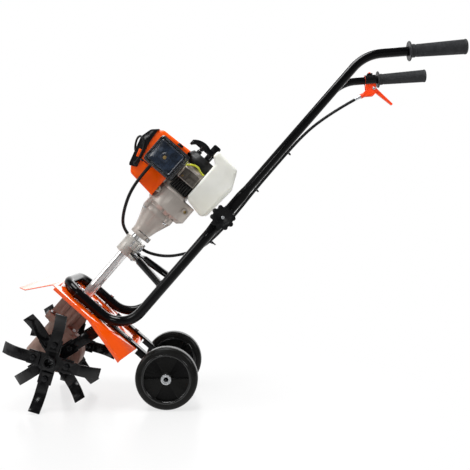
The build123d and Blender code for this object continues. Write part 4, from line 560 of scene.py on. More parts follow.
# The pale edge colour paints the light lines that the fins' edges catch: a painted highlight.
FINS_EDGE_HIGHLIGHTS = Finish(
    "fin_plastic", (15, 15, 16), (24, 24, 24), (172, 168, 154), 0.9, (0.3, 0.45),
    patch=50, grain=1100, depth=30, specular=0.3)
WHEEL = WheelFinish(
    "wheel_plastic", (8, 8, 8), (20, 20, 19), (104, 106, 110), 0.35, (0.24, 0.36),
    patch=40, grain=900, depth=10, specular=0.16,
    centre=tuple(joint_place("wheel_left_spin") * Vector((1, 0, 1))))
LIP = Finish(
    "tyre_lip", (18, 18, 18), (26, 26, 26), (60, 61, 63), 0.2, (0.1, 0.16),
    patch=60, grain=900, depth=5, specular=0.6)
RUBBER = Finish(
    "grip_rubber", (50, 51, 53), (38, 39, 41), (96, 98, 102), 0.4, (0.5, 0.66),
    patch=70, grain=1500, depth=60, cells=0.6, specular=0.25)
TANK = TankFinish(
    "tank_plastic", (242, 242, 235), (231, 231, 223), (250, 250, 247), 0.3, (0.42, 0.52),
    patch=22, grain=500, depth=60, cells=0.2, specular=0.35)
HOSE = Finish(
    "fuel_hose", (206, 210, 58), (190, 192, 40), (232, 234, 120), 0.2, (0.2, 0.3),
    patch=60, grain=500, depth=20, coat=0.3)
ROPE = Finish(
    "rope_fibre", (34, 34, 36), (24, 24, 26), (56, 56, 58), 0.2, (0.7, 0.85),
    patch=200, grain=2200, depth=200, cells=0.8)


# Meshes

SAME_POINT = 1e-4
CORNER_STEPS = 6
BEAD_SIDES = 8
RIPPLE = 0.16
SCREW_COLLAR = ((0, 0), (0.74, 0), (0.74, 0.16), (0.68, 0.22), (0, 0.22))
SCREW_CHAMFER = 0.08
HEX_FLATS = 1.732
GROMMET_SLOPE = ((0, 0), (0.8, 1.2), (2.8, 1.6))
GROMMET_MOUTH = 2.2
SCREW_DOME = ((0, 0), (1, 0), (1, 0.45), (0.86, 0.8), (0.55, 1), (0.42, 1), (0.36, 0.5), (0, 0.45))


def outward(mesh: Mesh) -> Mesh:
    """The same mesh, with its faces turned outwards."""
    bmesh.ops.recalc_face_normals(mesh, faces=mesh.faces)
    return mesh


def rounded(mesh: Mesh, radius: float, segments: int) -> Mesh:
    """The same mesh, with rounded edges."""
    bmesh.ops.bevel(mesh, geom=mesh.edges, offset=radius, affect="EDGES", segments=segments, profile=0.5, material=-1)
    return mesh


def turned(profile: Profile, steps: int = 48) -> Mesh:
    """Shape turned about the z axis.

    Args:
        profile: (radius, height) points from one end to the other.
        steps: faces round the axis.

    Returns:
        A new mesh.
    """
    mesh = bmesh.new()
    points = [mesh.verts.new((radius, 0.0, height)) for radius, height in profile]
    edges = [mesh.edges.new(pair) for pair in zip(points, points[1:])]
    bmesh.ops.spin(mesh, geom=points + edges, cent=(0, 0, 0), axis=UP, angle=math.tau, steps=steps, use_merge=True,
                   dvec=(0, 0, 0))
    bmesh.ops.remove_doubles(mesh, verts=mesh.verts, dist=SAME_POINT)
    return outward(mesh)


def whole(mesh: Mesh) -> list:
    """All points, edges and faces of a mesh."""
    return mesh.verts[:] + mesh.edges[:] + mesh.faces[:]


def carried_round(mesh: Mesh, start: float, turn: float, steps: int, rise: float = 0.0) -> Mesh:
    """Solid swept by a flat face that is carried round the z axis.

    Args:
        mesh: the face at angle 0, which becomes the solid.
        start: angle where the sweep begins, in radians.
        turn: angle that it goes through.
        steps: faces along it.
        rise: how far each step climbs.

    Returns:
        The mesh.
    """
    moved(mesh, Matrix.Rotation(start, 4, "Z"))
    bmesh.ops.spin(mesh, geom=whole(mesh), cent=(0, 0, 0), axis=UP, angle=turn, steps=steps, dvec=(0, 0, rise))
    return outward(mesh)


def block(size: Triple, round_edge: float, at: Triple = (0, 0, 0), segments: int = 3) -> Mesh:
    """Block with rounded edges.

    Args:
        size: its length along x, y and z.
        round_edge: radius of its edges.
        at: its middle.
        segments: faces round each edge.

    Returns:
        A new mesh.
    """
    mesh = bmesh.new()
    bmesh.ops.create_cube(mesh, size=1.0, matrix=Matrix.Diagonal((*size, 1.0)))
    return moved(rounded(mesh, round_edge, segments), Matrix.Translation(at))


def stored(mesh: Mesh, name: str) -> bpy.types.Mesh:
    """Mesh data made of a mesh, which is freed.

    Args:
        mesh: the mesh.
        name: the data's name.

    Returns:
        The data.
    """
    data = bpy.data.meshes.new(name)
    mesh.to_mesh(data)
    mesh.free()
    return data


def joined(*meshes: Mesh) -> Mesh:
    """Put several meshes into the first one.

    Args:
        meshes: the meshes, of which all but the first are freed.

    Returns:
        The first one.
    """
    first, *others = meshes
    for other in others:
        spare = stored(other, "spare")
        first.from_mesh(spare)
        bpy.data.meshes.remove(spare)
    return first


def moved(mesh: Mesh, matrix: Matrix) -> Mesh:
    """The same mesh, transformed."""
    bmesh.ops.transform(mesh, matrix=matrix, verts=mesh.verts)
    return mesh


def rounded_loop(mesh: Mesh, middle: Vector, half: Pair, corner: float) -> list[bmesh.types.BMEdge]:
    """Add a rounded rectangle in an x-z plane to a mesh.

    Args:
        mesh: the mesh that it is added to.
        middle: its middle.
        half: half its lengths along x and z.
        corner: radius of its corners.

    Returns:
        Its edges.
    """
    flat = bmesh.new()
    bmesh.ops.create_grid(flat, x_segments=1, y_segments=1, size=1.0)
    moved(flat, Matrix.Rotation(math.pi / 2, 4, "X") @ Matrix.Diagonal((*half, 1.0, 1.0)))
    bmesh.ops.bevel(flat, geom=flat.verts, offset=corner, offset_type="OFFSET", affect="VERTICES",
                    segments=CORNER_STEPS, profile=0.5, material=-1)
    bmesh.ops.delete(flat, geom=flat.faces, context="FACES_ONLY")
    known = set(mesh.edges)
    joined(mesh, moved(flat, Matrix.Translation(middle)))
    return [edge for edge in mesh.edges if edge not in known]


def ring_section(radius: float, bead: float, sides: int, level: float = 0.0) -> Profile:
    """Points round a bead whose middle lies at a radius and a level."""
    turn = [math.tau * index / sides for index in range(sides + 1)]
    return [(radius + bead * math.cos(angle), level + bead * math.sin(angle)) for angle in turn]


def weld_ring(radius: float, bead: float, ripples: int = 30) -> Mesh:
    """Weld bead round the z axis, with the ripples that the torch leaves.

    Args:
        radius: distance of the bead's middle from the axis.
        bead: radius of the bead itself.
        ripples: ripples in one turn.

    Returns:
        A new mesh.
    """
    mesh = turned(ring_section(radius, bead, BEAD_SIDES), 4 * ripples)
    for vert in mesh.verts:
        angle = math.atan2(vert.co.y, vert.co.x)
        middle = Vector((math.cos(angle), math.sin(angle), 0.0)) * radius
        vert.co = middle + (vert.co - middle) * (1.0 + RIPPLE * math.sin(ripples * angle))
    return mesh


def grommet(bore: float, rim: float, low: float, top: float) -> Mesh:
    """Rubber ring round the z axis with a sloped face, from its low side to the top of its rim."""
    slope = [(rim - inwards, top + rise) for inwards, rise in GROMMET_SLOPE]
    return turned([(bore, low), (rim, low), *slope, (bore, GROMMET_MOUTH), (bore, low)], steps=32)


def hex_screw(across: float, high: float) -> Mesh:
    """Hexagon screw head with a washer face, standing on z = 0.

    Args:
        across: distance over its flats.
        high: its height.

    Returns:
        A new mesh.
    """
    collar = turned([(across * out, high * level) for out, level in SCREW_COLLAR])
    corner = across / HEX_FLATS
    nut = bmesh.new()
    bmesh.ops.create_cone(nut, cap_ends=True, segments=6, radius1=corner, radius2=corner, depth=high,
                          matrix=Matrix.Translation((0, 0, high / 2)))
    return joined(collar, rounded(nut, high * SCREW_CHAMFER, segments=2))


def round_screw(radius: float, high: float) -> Mesh:
    """Domed screw head with a driver recess, standing on z = 0."""
    return turned([(radius * out, high * level) for out, level in SCREW_DOME], steps=24)


# Pieces

WELD_REACH = 0.00002
EDGE_ANGLE = 32.0


def new_object(name: str, data: bpy.types.ID) -> bpy.types.Object:
    """Put an object into the scene.

    Args:
        name: its name.
        data: its mesh, lamp or camera.

    Returns:
        The object.
    """
    made = bpy.data.objects.new(name, data)
    bpy.context.scene.collection.objects.link(made)
    return made


def make_piece(name: str, mesh: Mesh, finish: Finish, body: Body | None = Body.CHASSIS,
               sharp: float = 35.0) -> bpy.types.Object:
    """Turn a mesh in world metres into a finished piece.

    Args:
        name: the piece's name.
        mesh: its mesh, which is freed.
        finish: its finish.
        body: the body it rides on, or None to leave it unattached.
        sharp: angle in degrees past which an edge stays sharp.

    Returns:
        The piece.
    """
    data = stored(mesh, name)
    data.polygons.foreach_set("use_smooth", [True] * len(data.polygons))
    data.set_sharp_from_angle(angle=math.radians(sharp))
    data.materials.append(finish.material())
    piece = new_object(name, data)
    if body is not None:
        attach(piece, body.value)
    LOG.info("piece %s: %d faces", name, len(data.polygons))
    return piece


def dress(node: str, finish: Finish, edge: float) -> None:
    """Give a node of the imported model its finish, smooth round faces and slightly broken edges.

    Args:
        node: the node's name.
        finish: its finish.
        edge: width of its broken edges in millimetres, 0 for none.
    """
    part = frame["nodes"][node]
    part.data.materials.clear()
    part.data.materials.append(finish.material())
    part.data.polygons.foreach_set("use_smooth", [True] * len(part.data.polygons))
    if edge > 0:
        part.modifiers.new("weld", "WELD").merge_threshold = WELD_REACH
        bevel = part.modifiers.new("edges", "BEVEL")
        bevel.width = edge * MM
        bevel.segments = 2
        bevel.limit_method = "ANGLE"
        bevel.angle_limit = math.radians(EDGE_ANGLE)
        bevel.harden_normals = True
        bevel.use_clamp_overlap = True
    LOG.info("node %s: %s", node, finish.name)


@dataclass(frozen=True)
class CordRoute:
    """Smooth line of a cord: a NURBS spline whose control points are the route's.

    Attributes:
        name: name of the cord's piece.
        places: control points in machine millimetres, from where it leaves the object.
        radius: the cord's radius in millimetres.
    """

    name: str
    places: tuple[Triple, ...]
    radius: float

    def line(self, bevel: float) -> Mesh:
        """The smooth line in world metres.

        Args:
            bevel: radius to make it round with, 0 for its bare points.

        Returns:
            A new mesh.
        """
        data = bpy.data.curves.new(self.name + "_line", "CURVE")
        data.dimensions = "3D"
        data.bevel_depth = bevel
        data.bevel_resolution = 4
        data.use_fill_caps = bevel > 0
        spline = data.splines.new("NURBS")
        spline.points.add(len(self.places) - 1)
        for point, place in zip(spline.points, self.places):
            point.co = (*MACHINE.point(place), 1.0)
        spline.order_u = 3
        spline.use_endpoint_u = True
        spline.resolution_u = 10
        holder = bpy.data.objects.new(self.name + "_line", data)
        made = bpy.data.meshes.new_from_object(holder)
        mesh = bmesh.new()
        mesh.from_mesh(made)
        bpy.data.objects.remove(holder)
        bpy.data.curves.remove(data)
        bpy.data.meshes.remove(made)
        return mesh

    def tube(self) -> Mesh:
        """Round tube along the line, closed at both ends.

        Returns:
            A new mesh.
        """
        mesh = self.line(self.radius * MM)
        bmesh.ops.remove_doubles(mesh, verts=mesh.verts, dist=MICRON)
        return outward(mesh)

    def declare(self, piece: bpy.types.Object, stiffness: str, with_pieces: list[bpy.types.Object]) -> None:
        """Make the cord's bare line and free it again; the cord leaves the object at its first point and goes back
        into it at its last.

        Args:
            piece: the cord's piece; not used.
            stiffness: how it bends; not used.
            with_pieces: pieces that belong to it; not used.
        """
        line = self.line(0.0)
        line.free()


# Studio


@dataclass
class Studio:
    """White studio: camera, pale floor and backdrop, soft lamps.

    Attributes:
        floor_near: share of white at contact, rising to 1 over floor_fade.
        floor_mirrored: strength of the floor's white in reflections, rising to 1 over mirrored_fade.
        room: reflected strength of the camera's side; backdrop and left_wall are those of two others.
        daylight: strength of the surroundings as light.
        lamps: name, place, size and power.
    """

    camera_place: Triple = (-0.0093, -1.8, 0.474)
    lens: float = 52.6
    sensor: float = 36.0
    shift: Pair = (0.017, -0.040)
    floor_half: float = 12.0
    floor_drop: float = 0.0005
    floor_grey: float = 0.7
    floor_roughness: float = 0.22
    floor_specular: float = 0.35
    floor_near: float = 0.72
    floor_fade: Pair = (0.2, 0.85)
    contact: Triple = (-0.28, 0.0, 0.0)
    floor_mirrored: float = 0.32
    mirrored_fade: Pair = (-0.55, 0.0)
    room: float = 0.06
    backdrop: float = 1.8
    backdrop_from: Pair = (0.4, 0.85)
    left_wall: float = 0.8
    left_wall_from: Pair = (-0.5, -0.85)
    daylight: float = 0.36
    aim: Triple = (-0.1, 0.0, 0.35)
    lamps: tuple[tuple[str, Triple, float, float], ...] = (
        ("top_lamp", (-0.4, -0.4, 2.4), 1.1, 48.0),
        ("left_lamp", (-2.3, -1.2, 1.4), 0.8, 10.0),
        ("right_lamp", (2.1, -1.4, 1.6), 0.8, 15.0),
        ("rear_lamp", (0.4, 2.2, 1.9), 1.2, 12.0),
        ("front_lamp", (-0.9, -2.6, 1.2), 0.4, 5.0),
    )

    def build(self) -> None:
        """Make the whole studio."""
        self.make_camera()
        self.make_floor()
        self.make_world()
        self.make_lamps()
        bpy.context.scene.view_settings.view_transform = "Standard"

    def make_camera(self) -> None:
        """Level camera looking across the machine from its left."""
        data = bpy.data.cameras.new("camera")
        data.lens = self.lens
        data.sensor_width = self.sensor
        data.shift_x, data.shift_y = self.shift
        data.dof.use_dof = False
        camera = new_object("camera", data)
        camera.location = self.camera_place
        camera.rotation_euler = (math.radians(90), 0, 0)
        bpy.context.scene.camera = camera

    def make_floor(self) -> None:
        """Pale floor with a faint gloss, going over into white away from the machine."""
        made, sheet, shader = new_material("studio_floor")
        sheet.feed(shader, {"Base Color": (*[self.floor_grey] * 3, 1.0), "Roughness": self.floor_roughness,
                            "Specular IOR Level": self.floor_specular})
        place = sheet.place()
        mirrored = sheet.spread(sheet.along("Y", place), *self.mirrored_fade, self.floor_mirrored, 1.0)
        level = sheet.maths("MAXIMUM", sheet.rays("Camera"), mirrored)
        white = sheet.add("Emission", {"Color": WHITE, "Strength": level})
        share = sheet.spread(sheet.away(place, self.contact), *self.floor_fade, self.floor_near, 1.0)
        seen = sheet.maths("MULTIPLY", sheet.rays("Camera", "Transmission", "Glossy"), share)
        blend = sheet.add("MixShader", {0: seen, 1: shader.outputs[0], 2: white.outputs[0]})
        sheet.feed(made.node_tree.nodes["Material Output"], {"Surface": blend.outputs[0]})
        mesh = bmesh.new()
        bmesh.ops.create_grid(mesh, x_segments=1, y_segments=1, size=self.floor_half)
        floor = new_object("floor", stored(mesh, "floor"))
        floor.data.materials.append(made)
        floor.location.z = -self.floor_drop

    def make_world(self) -> None:
        """White surroundings: full white where seen, softer as light, and a dim room behind the camera's place."""
        world = bpy.data.worlds.new("studio")
        world.use_nodes = True
        bpy.context.scene.world = world
        sheet = NodeSheet(world.node_tree)
        way = sheet.add("TexCoord").outputs["Generated"]
        backdrop = sheet.spread(sheet.along("Y", way), *self.backdrop_from, self.room, self.backdrop)
        left_wall = sheet.spread(sheet.along("X", way), *self.left_wall_from, 0.0, self.left_wall)
        reflected = sheet.maths("MULTIPLY", sheet.rays("Glossy"), sheet.maths("MAXIMUM", backdrop, left_wall))
        light = sheet.maths("MULTIPLY", sheet.rays("Diffuse"), self.daylight)
        seen = sheet.maths("MAXIMUM", sheet.rays("Camera", "Transmission"), reflected)
        sheet.feed(world.node_tree.nodes["Background"],
                   {"Color": WHITE, "Strength": sheet.maths("MAXIMUM", light, seen)})

    def make_lamps(self) -> None:
        """Soft lamps aimed at the middle of the machine."""
        for name, place, size, power in self.lamps:
            data = bpy.data.lights.new(name, "AREA")
            data.size = size
            data.energy = power
            lamp = new_object(name, data)
            lamp.location = place
            lamp.rotation_euler = (Vector(self.aim) - Vector(place)).to_track_quat("-Z", "Y").to_euler()


# Machine

Dressing = tuple[tuple[Finish, float, tuple[str, ...]], ...]


@dataclass
class Assembly:
    """A sub-assembly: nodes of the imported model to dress, and pieces to add to them.

    Attributes:
        dressing: a finish, the width of broken edges and the nodes that have them, in each row.
    """

    dressing: Dressing = ()

    def build(self) -> None:
        """Dress the nodes, then add the pieces."""
        for finish, edge, nodes in self.dressing:
            for node in nodes:
                dress(node, finish, edge)
        self.add_pieces()

    def add_pieces(self) -> None:
        """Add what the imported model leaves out."""


@dataclass
class Rotor(Assembly):
    """Tine rotor: hubs, bent tines, their bolts and welds."""

    dressing: Dressing = (
        (TINE_PAINT, 0.5, ("hub_left", "hub_right", "tines_left", "tines_right")),
        (BOLT_BLACK, 0.5, ("tine_bolts",)),
        (STEEL, 0.35, ("tine_shaft",)),
        (BRONZE, 0.0, ("worm_wheel",)))
    weld_radius: float = 16.6
    bead: float = 1.7
    plate_faces: Pair = (70.0, 132.0)

    def add_pieces(self) -> None:
        """Weld bead on the inner face of each cross plate."""
        places = [(side, joint_place("rotor_spin") + RIGHT * (side.value * out * MM))
                  for side in Side for out in self.plate_faces]
        beads = [moved(weld_ring(self.weld_radius, self.bead), world_stand(place, side)) for side, place in places]
        make_piece("hub_welds", joined(*beads), TINE_PAINT, Body.ROTOR, sharp=60)


@dataclass
class Gearbox(Assembly):
    """Worm gearbox, drive shaft and their bearings."""

    dressing: Dressing = (
        (GEARBOX_CASTING_ORANGE_BOUNCE, 0.8, ("gearbox_neck", "gearbox_housing", "gearbox_cover")),
        (STEEL, 0.0, ("ball_bearings", "drive_shaft", "worm_shaft", "clutch_drum")),
        (STEEL, 0.2, ("housing_screws",)),
        (CHROME, 0.0, ("drive_tube",)))


@dataclass
class GuardAndFrame(Assembly):
    """Guard sheet, bent tube frame, struts, clamp and transport wheels."""

    dressing: Dressing = (
        (GUARD_PAINT, 0.4, ("tine_guard",)),
        (FRAME_PAINT, 0.4, ("lower_frame", "strut_left", "strut_right", "wheel_bracket")),
        (CLAMP_CASTING, 0.8, ("clamp_front", "clamp_rear")),
        (STEEL, 0.3, ("frame_bolts", "wheel_axle", "axle_washers")),
        (WHEEL, 0.8, ("wheel_left", "wheel_right")))
    frame_radius: float = 12.5
    strut_from: Triple = (30.0, 38.0, 314.5)
    strut_foot: Triple = (137.0, 126.7, 314.5)
    leg_rise: Triple = (0.0, 63.7, 309.4)
    weld_radius: float = 10.0
    bead: float = 1.9
    lip: float = 58.6
    lip_bead: float = 4.2
    lip_level: float = 14.7

    def add_pieces(self) -> None:
        """Tyre lips and welds."""
        for side in Side:
            self.make_lip(side)
        self.make_welds()

    def make_lip(self, side: Side) -> None:
        """Rounded lip of one tyre round the dished middle, on both faces of its wheel.

        Args:
            side: the wheel's side.
        """
        body = Body(f"wheel_{side.word}")
        section = ring_section(self.lip, self.lip_bead, sides=20, level=self.lip_level)
        centre = joint_place(f"{body.value}_spin")
        rings = [moved(turned(section, steps=72), world_stand(centre, way)) for way in Side]
        make_piece(f"tyre_lip_{side.word}", joined(*rings), LIP, body, sharp=50)

    def make_welds(self) -> None:
        """Saddle-shaped bead where each strut meets its frame leg."""
        beads = []
        for side in Side:
            mirror = Vector((1, side.value, 1))
            foot = Vector(self.strut_foot) * mirror
            leg = (Vector(self.leg_rise) * mirror).normalized()
            back = Vector(self.strut_from) * mirror - foot
            stand = aimed(foot, back, back.cross(leg))
            lean = stand.to_3x3().inverted() @ leg
            bead = weld_ring(self.weld_radius, self.bead, ripples=22)
            for vert in bead.verts:
                across = math.sqrt(max(self.frame_radius ** 2 - vert.co.x ** 2, 0.0))
                vert.co.z += vert.co.y * lean.z / lean.y + across / abs(lean.y)
            beads.append(moved(bead, MACHINE.matrix @ stand))
        make_piece("strut_welds", joined(*beads), FRAME_PAINT, sharp=60)


@dataclass
class Handles(Assembly):
    """Handlebars, grips, knobs and the throttle with its conduit.

    Attributes:
        bend: vertex of the right handlebar's bend, from which the grip tube rises at lean degrees.
        pad_from: first (radius, height) of the rows of pads, pad_gain the change to the last.
        pad_insets: how far the pads are drawn in and raised, in two steps.
        pivot: distances past the bend and below the tube, as in stop.
        fold_from: a place on the cable by the folding joint; not used.
        leg_tie: place, direction along the leg and direction of the lock.
    """

    dressing: Dressing = (
        (FRAME_PAINT, 0.3, ("handlebar_left", "handlebar_right")),
        (RUBBER, 0.6, ("grip_left", "grip_right")),
        (KNOB_PLASTIC, 0.8, ("knob_left", "knob_right")),
        (STEEL, 0.3, ("joint_bolts",)),
        (THROTTLE_PLASTIC, 0.5, ("throttle_bracket", "throttle_lever")),
        (MATT_PLASTIC, 0.0, ("throttle_conduit",)))
    bend: Triple = (137.0, 170.0, 1051.0)
    lean: float = 45.6
    grip_from: float = 105.0
    grip_bore: Pair = (11.1, 133.9)
    grip_end: Profile = (
        (0, 136.2), (3.2, 136.2), (4.2, 137), (17.2, 137), (18.1, 136.1), (18.1, 133.4), (17.5, 132.4))
    grip_collar: Profile = (
        (14.6, 16), (15.4, 14.4), (15.9, 13.6), (15.9, 5.4), (16.6, 4.1), (22.9, 3.2), (23.7, 2.4), (23.7, 0.8),
        (22.9, 0))
    pad_rows: int = 12
    pad_from: Pair = (14.75, 18.5)
    pad_gain: Pair = (2.4, 112.0)
    pad_margin: float = 0.1
    pad_insets: Profile = ((0.55, 0.0), (0.2, 0.42))
    skin: float = 1.0
    bracket_along: float = 84.0
    band: Profile = ((14.7, -15.2), (15.2, -15.2), (15.6, -14.8), (15.6, 14.8), (15.2, 15.2), (14.7, 15.2))
    band_turn: Pair = (40.0, 320.0)
    band_pad: Block = ((5.0, 11.0, 16.0), 1.2, (-17.2, 0, 0))
    band_screw: float = 19.6
    pivot: Pair = (92.0, 25.0)
    pivot_half: float = 9.6
    stop: Pair = (71.0, 37.5)
    stop_tilt: float = 22.0
    ferrule: Profile = (
        (4.35, 19), (5.8, 19), (5.8, 22), (5.1, 22.6), (5.1, 37), (4.6, 38), (4.35, 38), (4.35, 19))
    conduit: CordRoute = CordRoute("throttle_cable", (
        (209.62, 170, 1066.15), (195.14, 170, 1031.02), (168.6, 170, 946), (155.6, 170, 880), (152.6, 170, 800),
        (153.1, 170, 660), (156.9, 165, 580), (156.9, 158.7, 500), (148, 134.7, 436), (124, 104, 394), (90, 64, 356),
        (41, 44.4, 331), (8, 44.4, 333), (-22, 26, 338), (-46, -4, 350), (-60, -26, 370), (-74, -44, 402),
        (-84, -58, 436), (-88, -67, 478), (-88, -67, 521.9)), 4.2)
    fold_from: Triple = (155.0, 164.0, 505.0)
    fold_way: Triple = (19.0, 19.0, 57.0)
    tie_place: Pair = (141.6, 170.0)
    tie_levels: Pair = (660.0, 800.0)
    tie_band: Profile = ((1.0, -2.2), (1.09, -2.2), (1.09, 2.2), (1.0, 2.2), (1.0, -2.2))
    tie_lock: Triple = (4.4, 6.4, 5.6)
    tie_lock_out: float = 2.6
    tie_edges: Pair = (0.8, 0.35)
    tie_tail: Pair = (1.3, 3.8)
    tie_tail_from: Pair = (3.0, 1.6)
    leg_tie: tuple[Triple, Triple, Triple] = ((141.6, 152.2, 462.0), (0.0, 0.2, 0.98), (0.8, -0.6, 0.0))

    def grip_axis(self) -> tuple[Vector, Vector]:
        """Machine directions along the grip and down from it.

        Returns:
            The two directions.
        """
        angle = math.radians(self.lean)
        along = Vector((math.cos(angle), 0.0, math.sin(angle)))
        return along, Vector((along.z, 0.0, -along.x))

    def beside_grip(self, along: float, drop: float = 0.0, side: Side = Side.RIGHT) -> Vector:
        """Machine point past the bend's vertex and below the grip tube's axis."""
        direction, down = self.grip_axis()
        return Vector(self.bend) * Vector((1, side.value, 1)) + direction * along + down * drop

    def add_pieces(self) -> None:
        """Grips, conduit, throttle fittings and ties."""
        for side in Side:
            self.make_grip(side)
        self.make_conduit()
        self.make_throttle_fittings()
        self.make_ties()

    def make_grip(self, side: Side) -> None:
        """Rubber grip: hand flange, collar, flared body with rows of raised pads, lip and closed end.

        Args:
            side: the handlebar's side.
        """
        bore, deep = self.grip_bore
        (radius, level), (wider, longer), last = self.pad_from, self.pad_gain, self.pad_rows - 1
        rows = [(radius + wider * row / last, level + longer * row / last) for row in range(self.pad_rows)]
        mesh = turned([*self.grip_end, *reversed(rows), *self.grip_collar, (bore, 0), (bore, deep), (0, deep)],
                      steps=30)
        low, high = rows[0][1] - self.pad_margin, rows[-1][1] + self.pad_margin
        pads = [face for face in mesh.faces if all(low < vert.co.z < high and vert.co.xy.length > bore + self.skin
                                                   for vert in face.verts)]
        for inwards, raised in self.pad_insets:
            bmesh.ops.inset_individual(mesh, faces=pads, thickness=inwards, depth=raised, use_even_offset=True)
        moved(mesh, MACHINE.stand(self.beside_grip(self.grip_from, 0.0, side), *self.grip_axis()))
        grip = make_piece(f"hand_grip_{side.word}", mesh, RUBBER,
                          Body(f"handlebar_{side.word}"), sharp=28)
        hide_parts(f"grip_{side.word}")

    def make_conduit(self) -> None:
        """Throttle cable's sheath from the bracket to the carburettor, curving past the folding joint."""
        direction, down = self.grip_axis()
        tilt = math.radians(self.stop_tilt)
        leaving = down * math.sin(tilt) - direction * math.cos(tilt)
        sleeve = moved(turned(self.ferrule, steps=28), MACHINE.stand(self.beside_grip(*self.stop), leaving, RIGHT))
        ferrule = make_piece("cable_ferrule", sleeve, STEEL, Body.HANDLEBAR_RIGHT, sharp=40)
        cable = make_piece(self.conduit.name, self.conduit.tube(), MATT_PLASTIC, None, sharp=60)
        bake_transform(cable)
        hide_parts("throttle_conduit")
        self.conduit.declare(cable, "stiff", [ferrule])

    def make_throttle_fittings(self) -> None:
        """Clamp band on the bracket, its screw and the lever's rivet heads."""
        stand = MACHINE.stand(self.beside_grip(self.bracket_along), *self.grip_axis())
        face = bmesh.new()
        face.faces.new([face.verts.new((radius, 0.0, height)) for radius, height in self.band])
        start, end = (math.radians(angle) for angle in self.band_turn)
        band = joined(carried_round(face, start, end - start, steps=56), block(*self.band_pad))
        make_piece("throttle_band", moved(band, stand), PLASTIC, Body.HANDLEBAR_RIGHT)
        top = Matrix.Translation((-self.band_screw, 0, 0)) @ Matrix.Rotation(math.radians(-90), 4, "Y")
        make_piece("throttle_band_screw", moved(round_screw(radius=3.4, high=3.2), stand @ top), THROTTLE_PLASTIC,
                   Body.HANDLEBAR_RIGHT)
        heads = []
        for out in (-RIGHT, RIGHT):
            place = self.beside_grip(*self.pivot) + out * self.pivot_half
            heads.append(moved(round_screw(radius=4.3, high=2.0), MACHINE.stand(place, out)))
        make_piece("lever_rivet_heads", joined(*heads), STEEL, Body.THROTTLE)

    def make_ties(self) -> None:
        """Cable ties that hold the conduit to the handlebar and the frame's right leg."""
        for index, high in enumerate(self.tie_levels):
            mesh = self.tie(MACHINE.stand((*self.tie_place, high), UP), size=(16.4, 12.4), tail=4.0)
            make_piece(f"handle_tie_{index}", mesh, PLASTIC, Body.HANDLEBAR_RIGHT)
        mesh = self.tie(MACHINE.stand(*(Vector(part) for part in self.leg_tie)), size=(21.0, 14.4), tail=11.0)
        make_piece("leg_tie", mesh, PLASTIC)

    def tie(self, stand: Matrix, size: Pair, tail: float) -> Mesh:
        """One cable tie: an oval band with its lock and cut tail.

        Args:
            stand: frame of the band, its z axis along what it holds and its x axis to the lock.
            size: half lengths of the oval.
            tail: length of the cut tail.

        Returns:
            The mesh in world metres.
        """
        band = moved(turned(self.tie_band, steps=40), Matrix.Diagonal((*size, 1.0, 1.0)))
        lock_edge, tail_edge = self.tie_edges
        lock = block(self.tie_lock, lock_edge, at=(size[0] + self.tie_lock_out, 0, 0))
        out, beside = self.tie_tail_from
        strip = block((tail, *self.tie_tail), tail_edge, at=(size[0] + out + tail / 2, beside, 0))
        return moved(joined(band, lock, strip), stand)


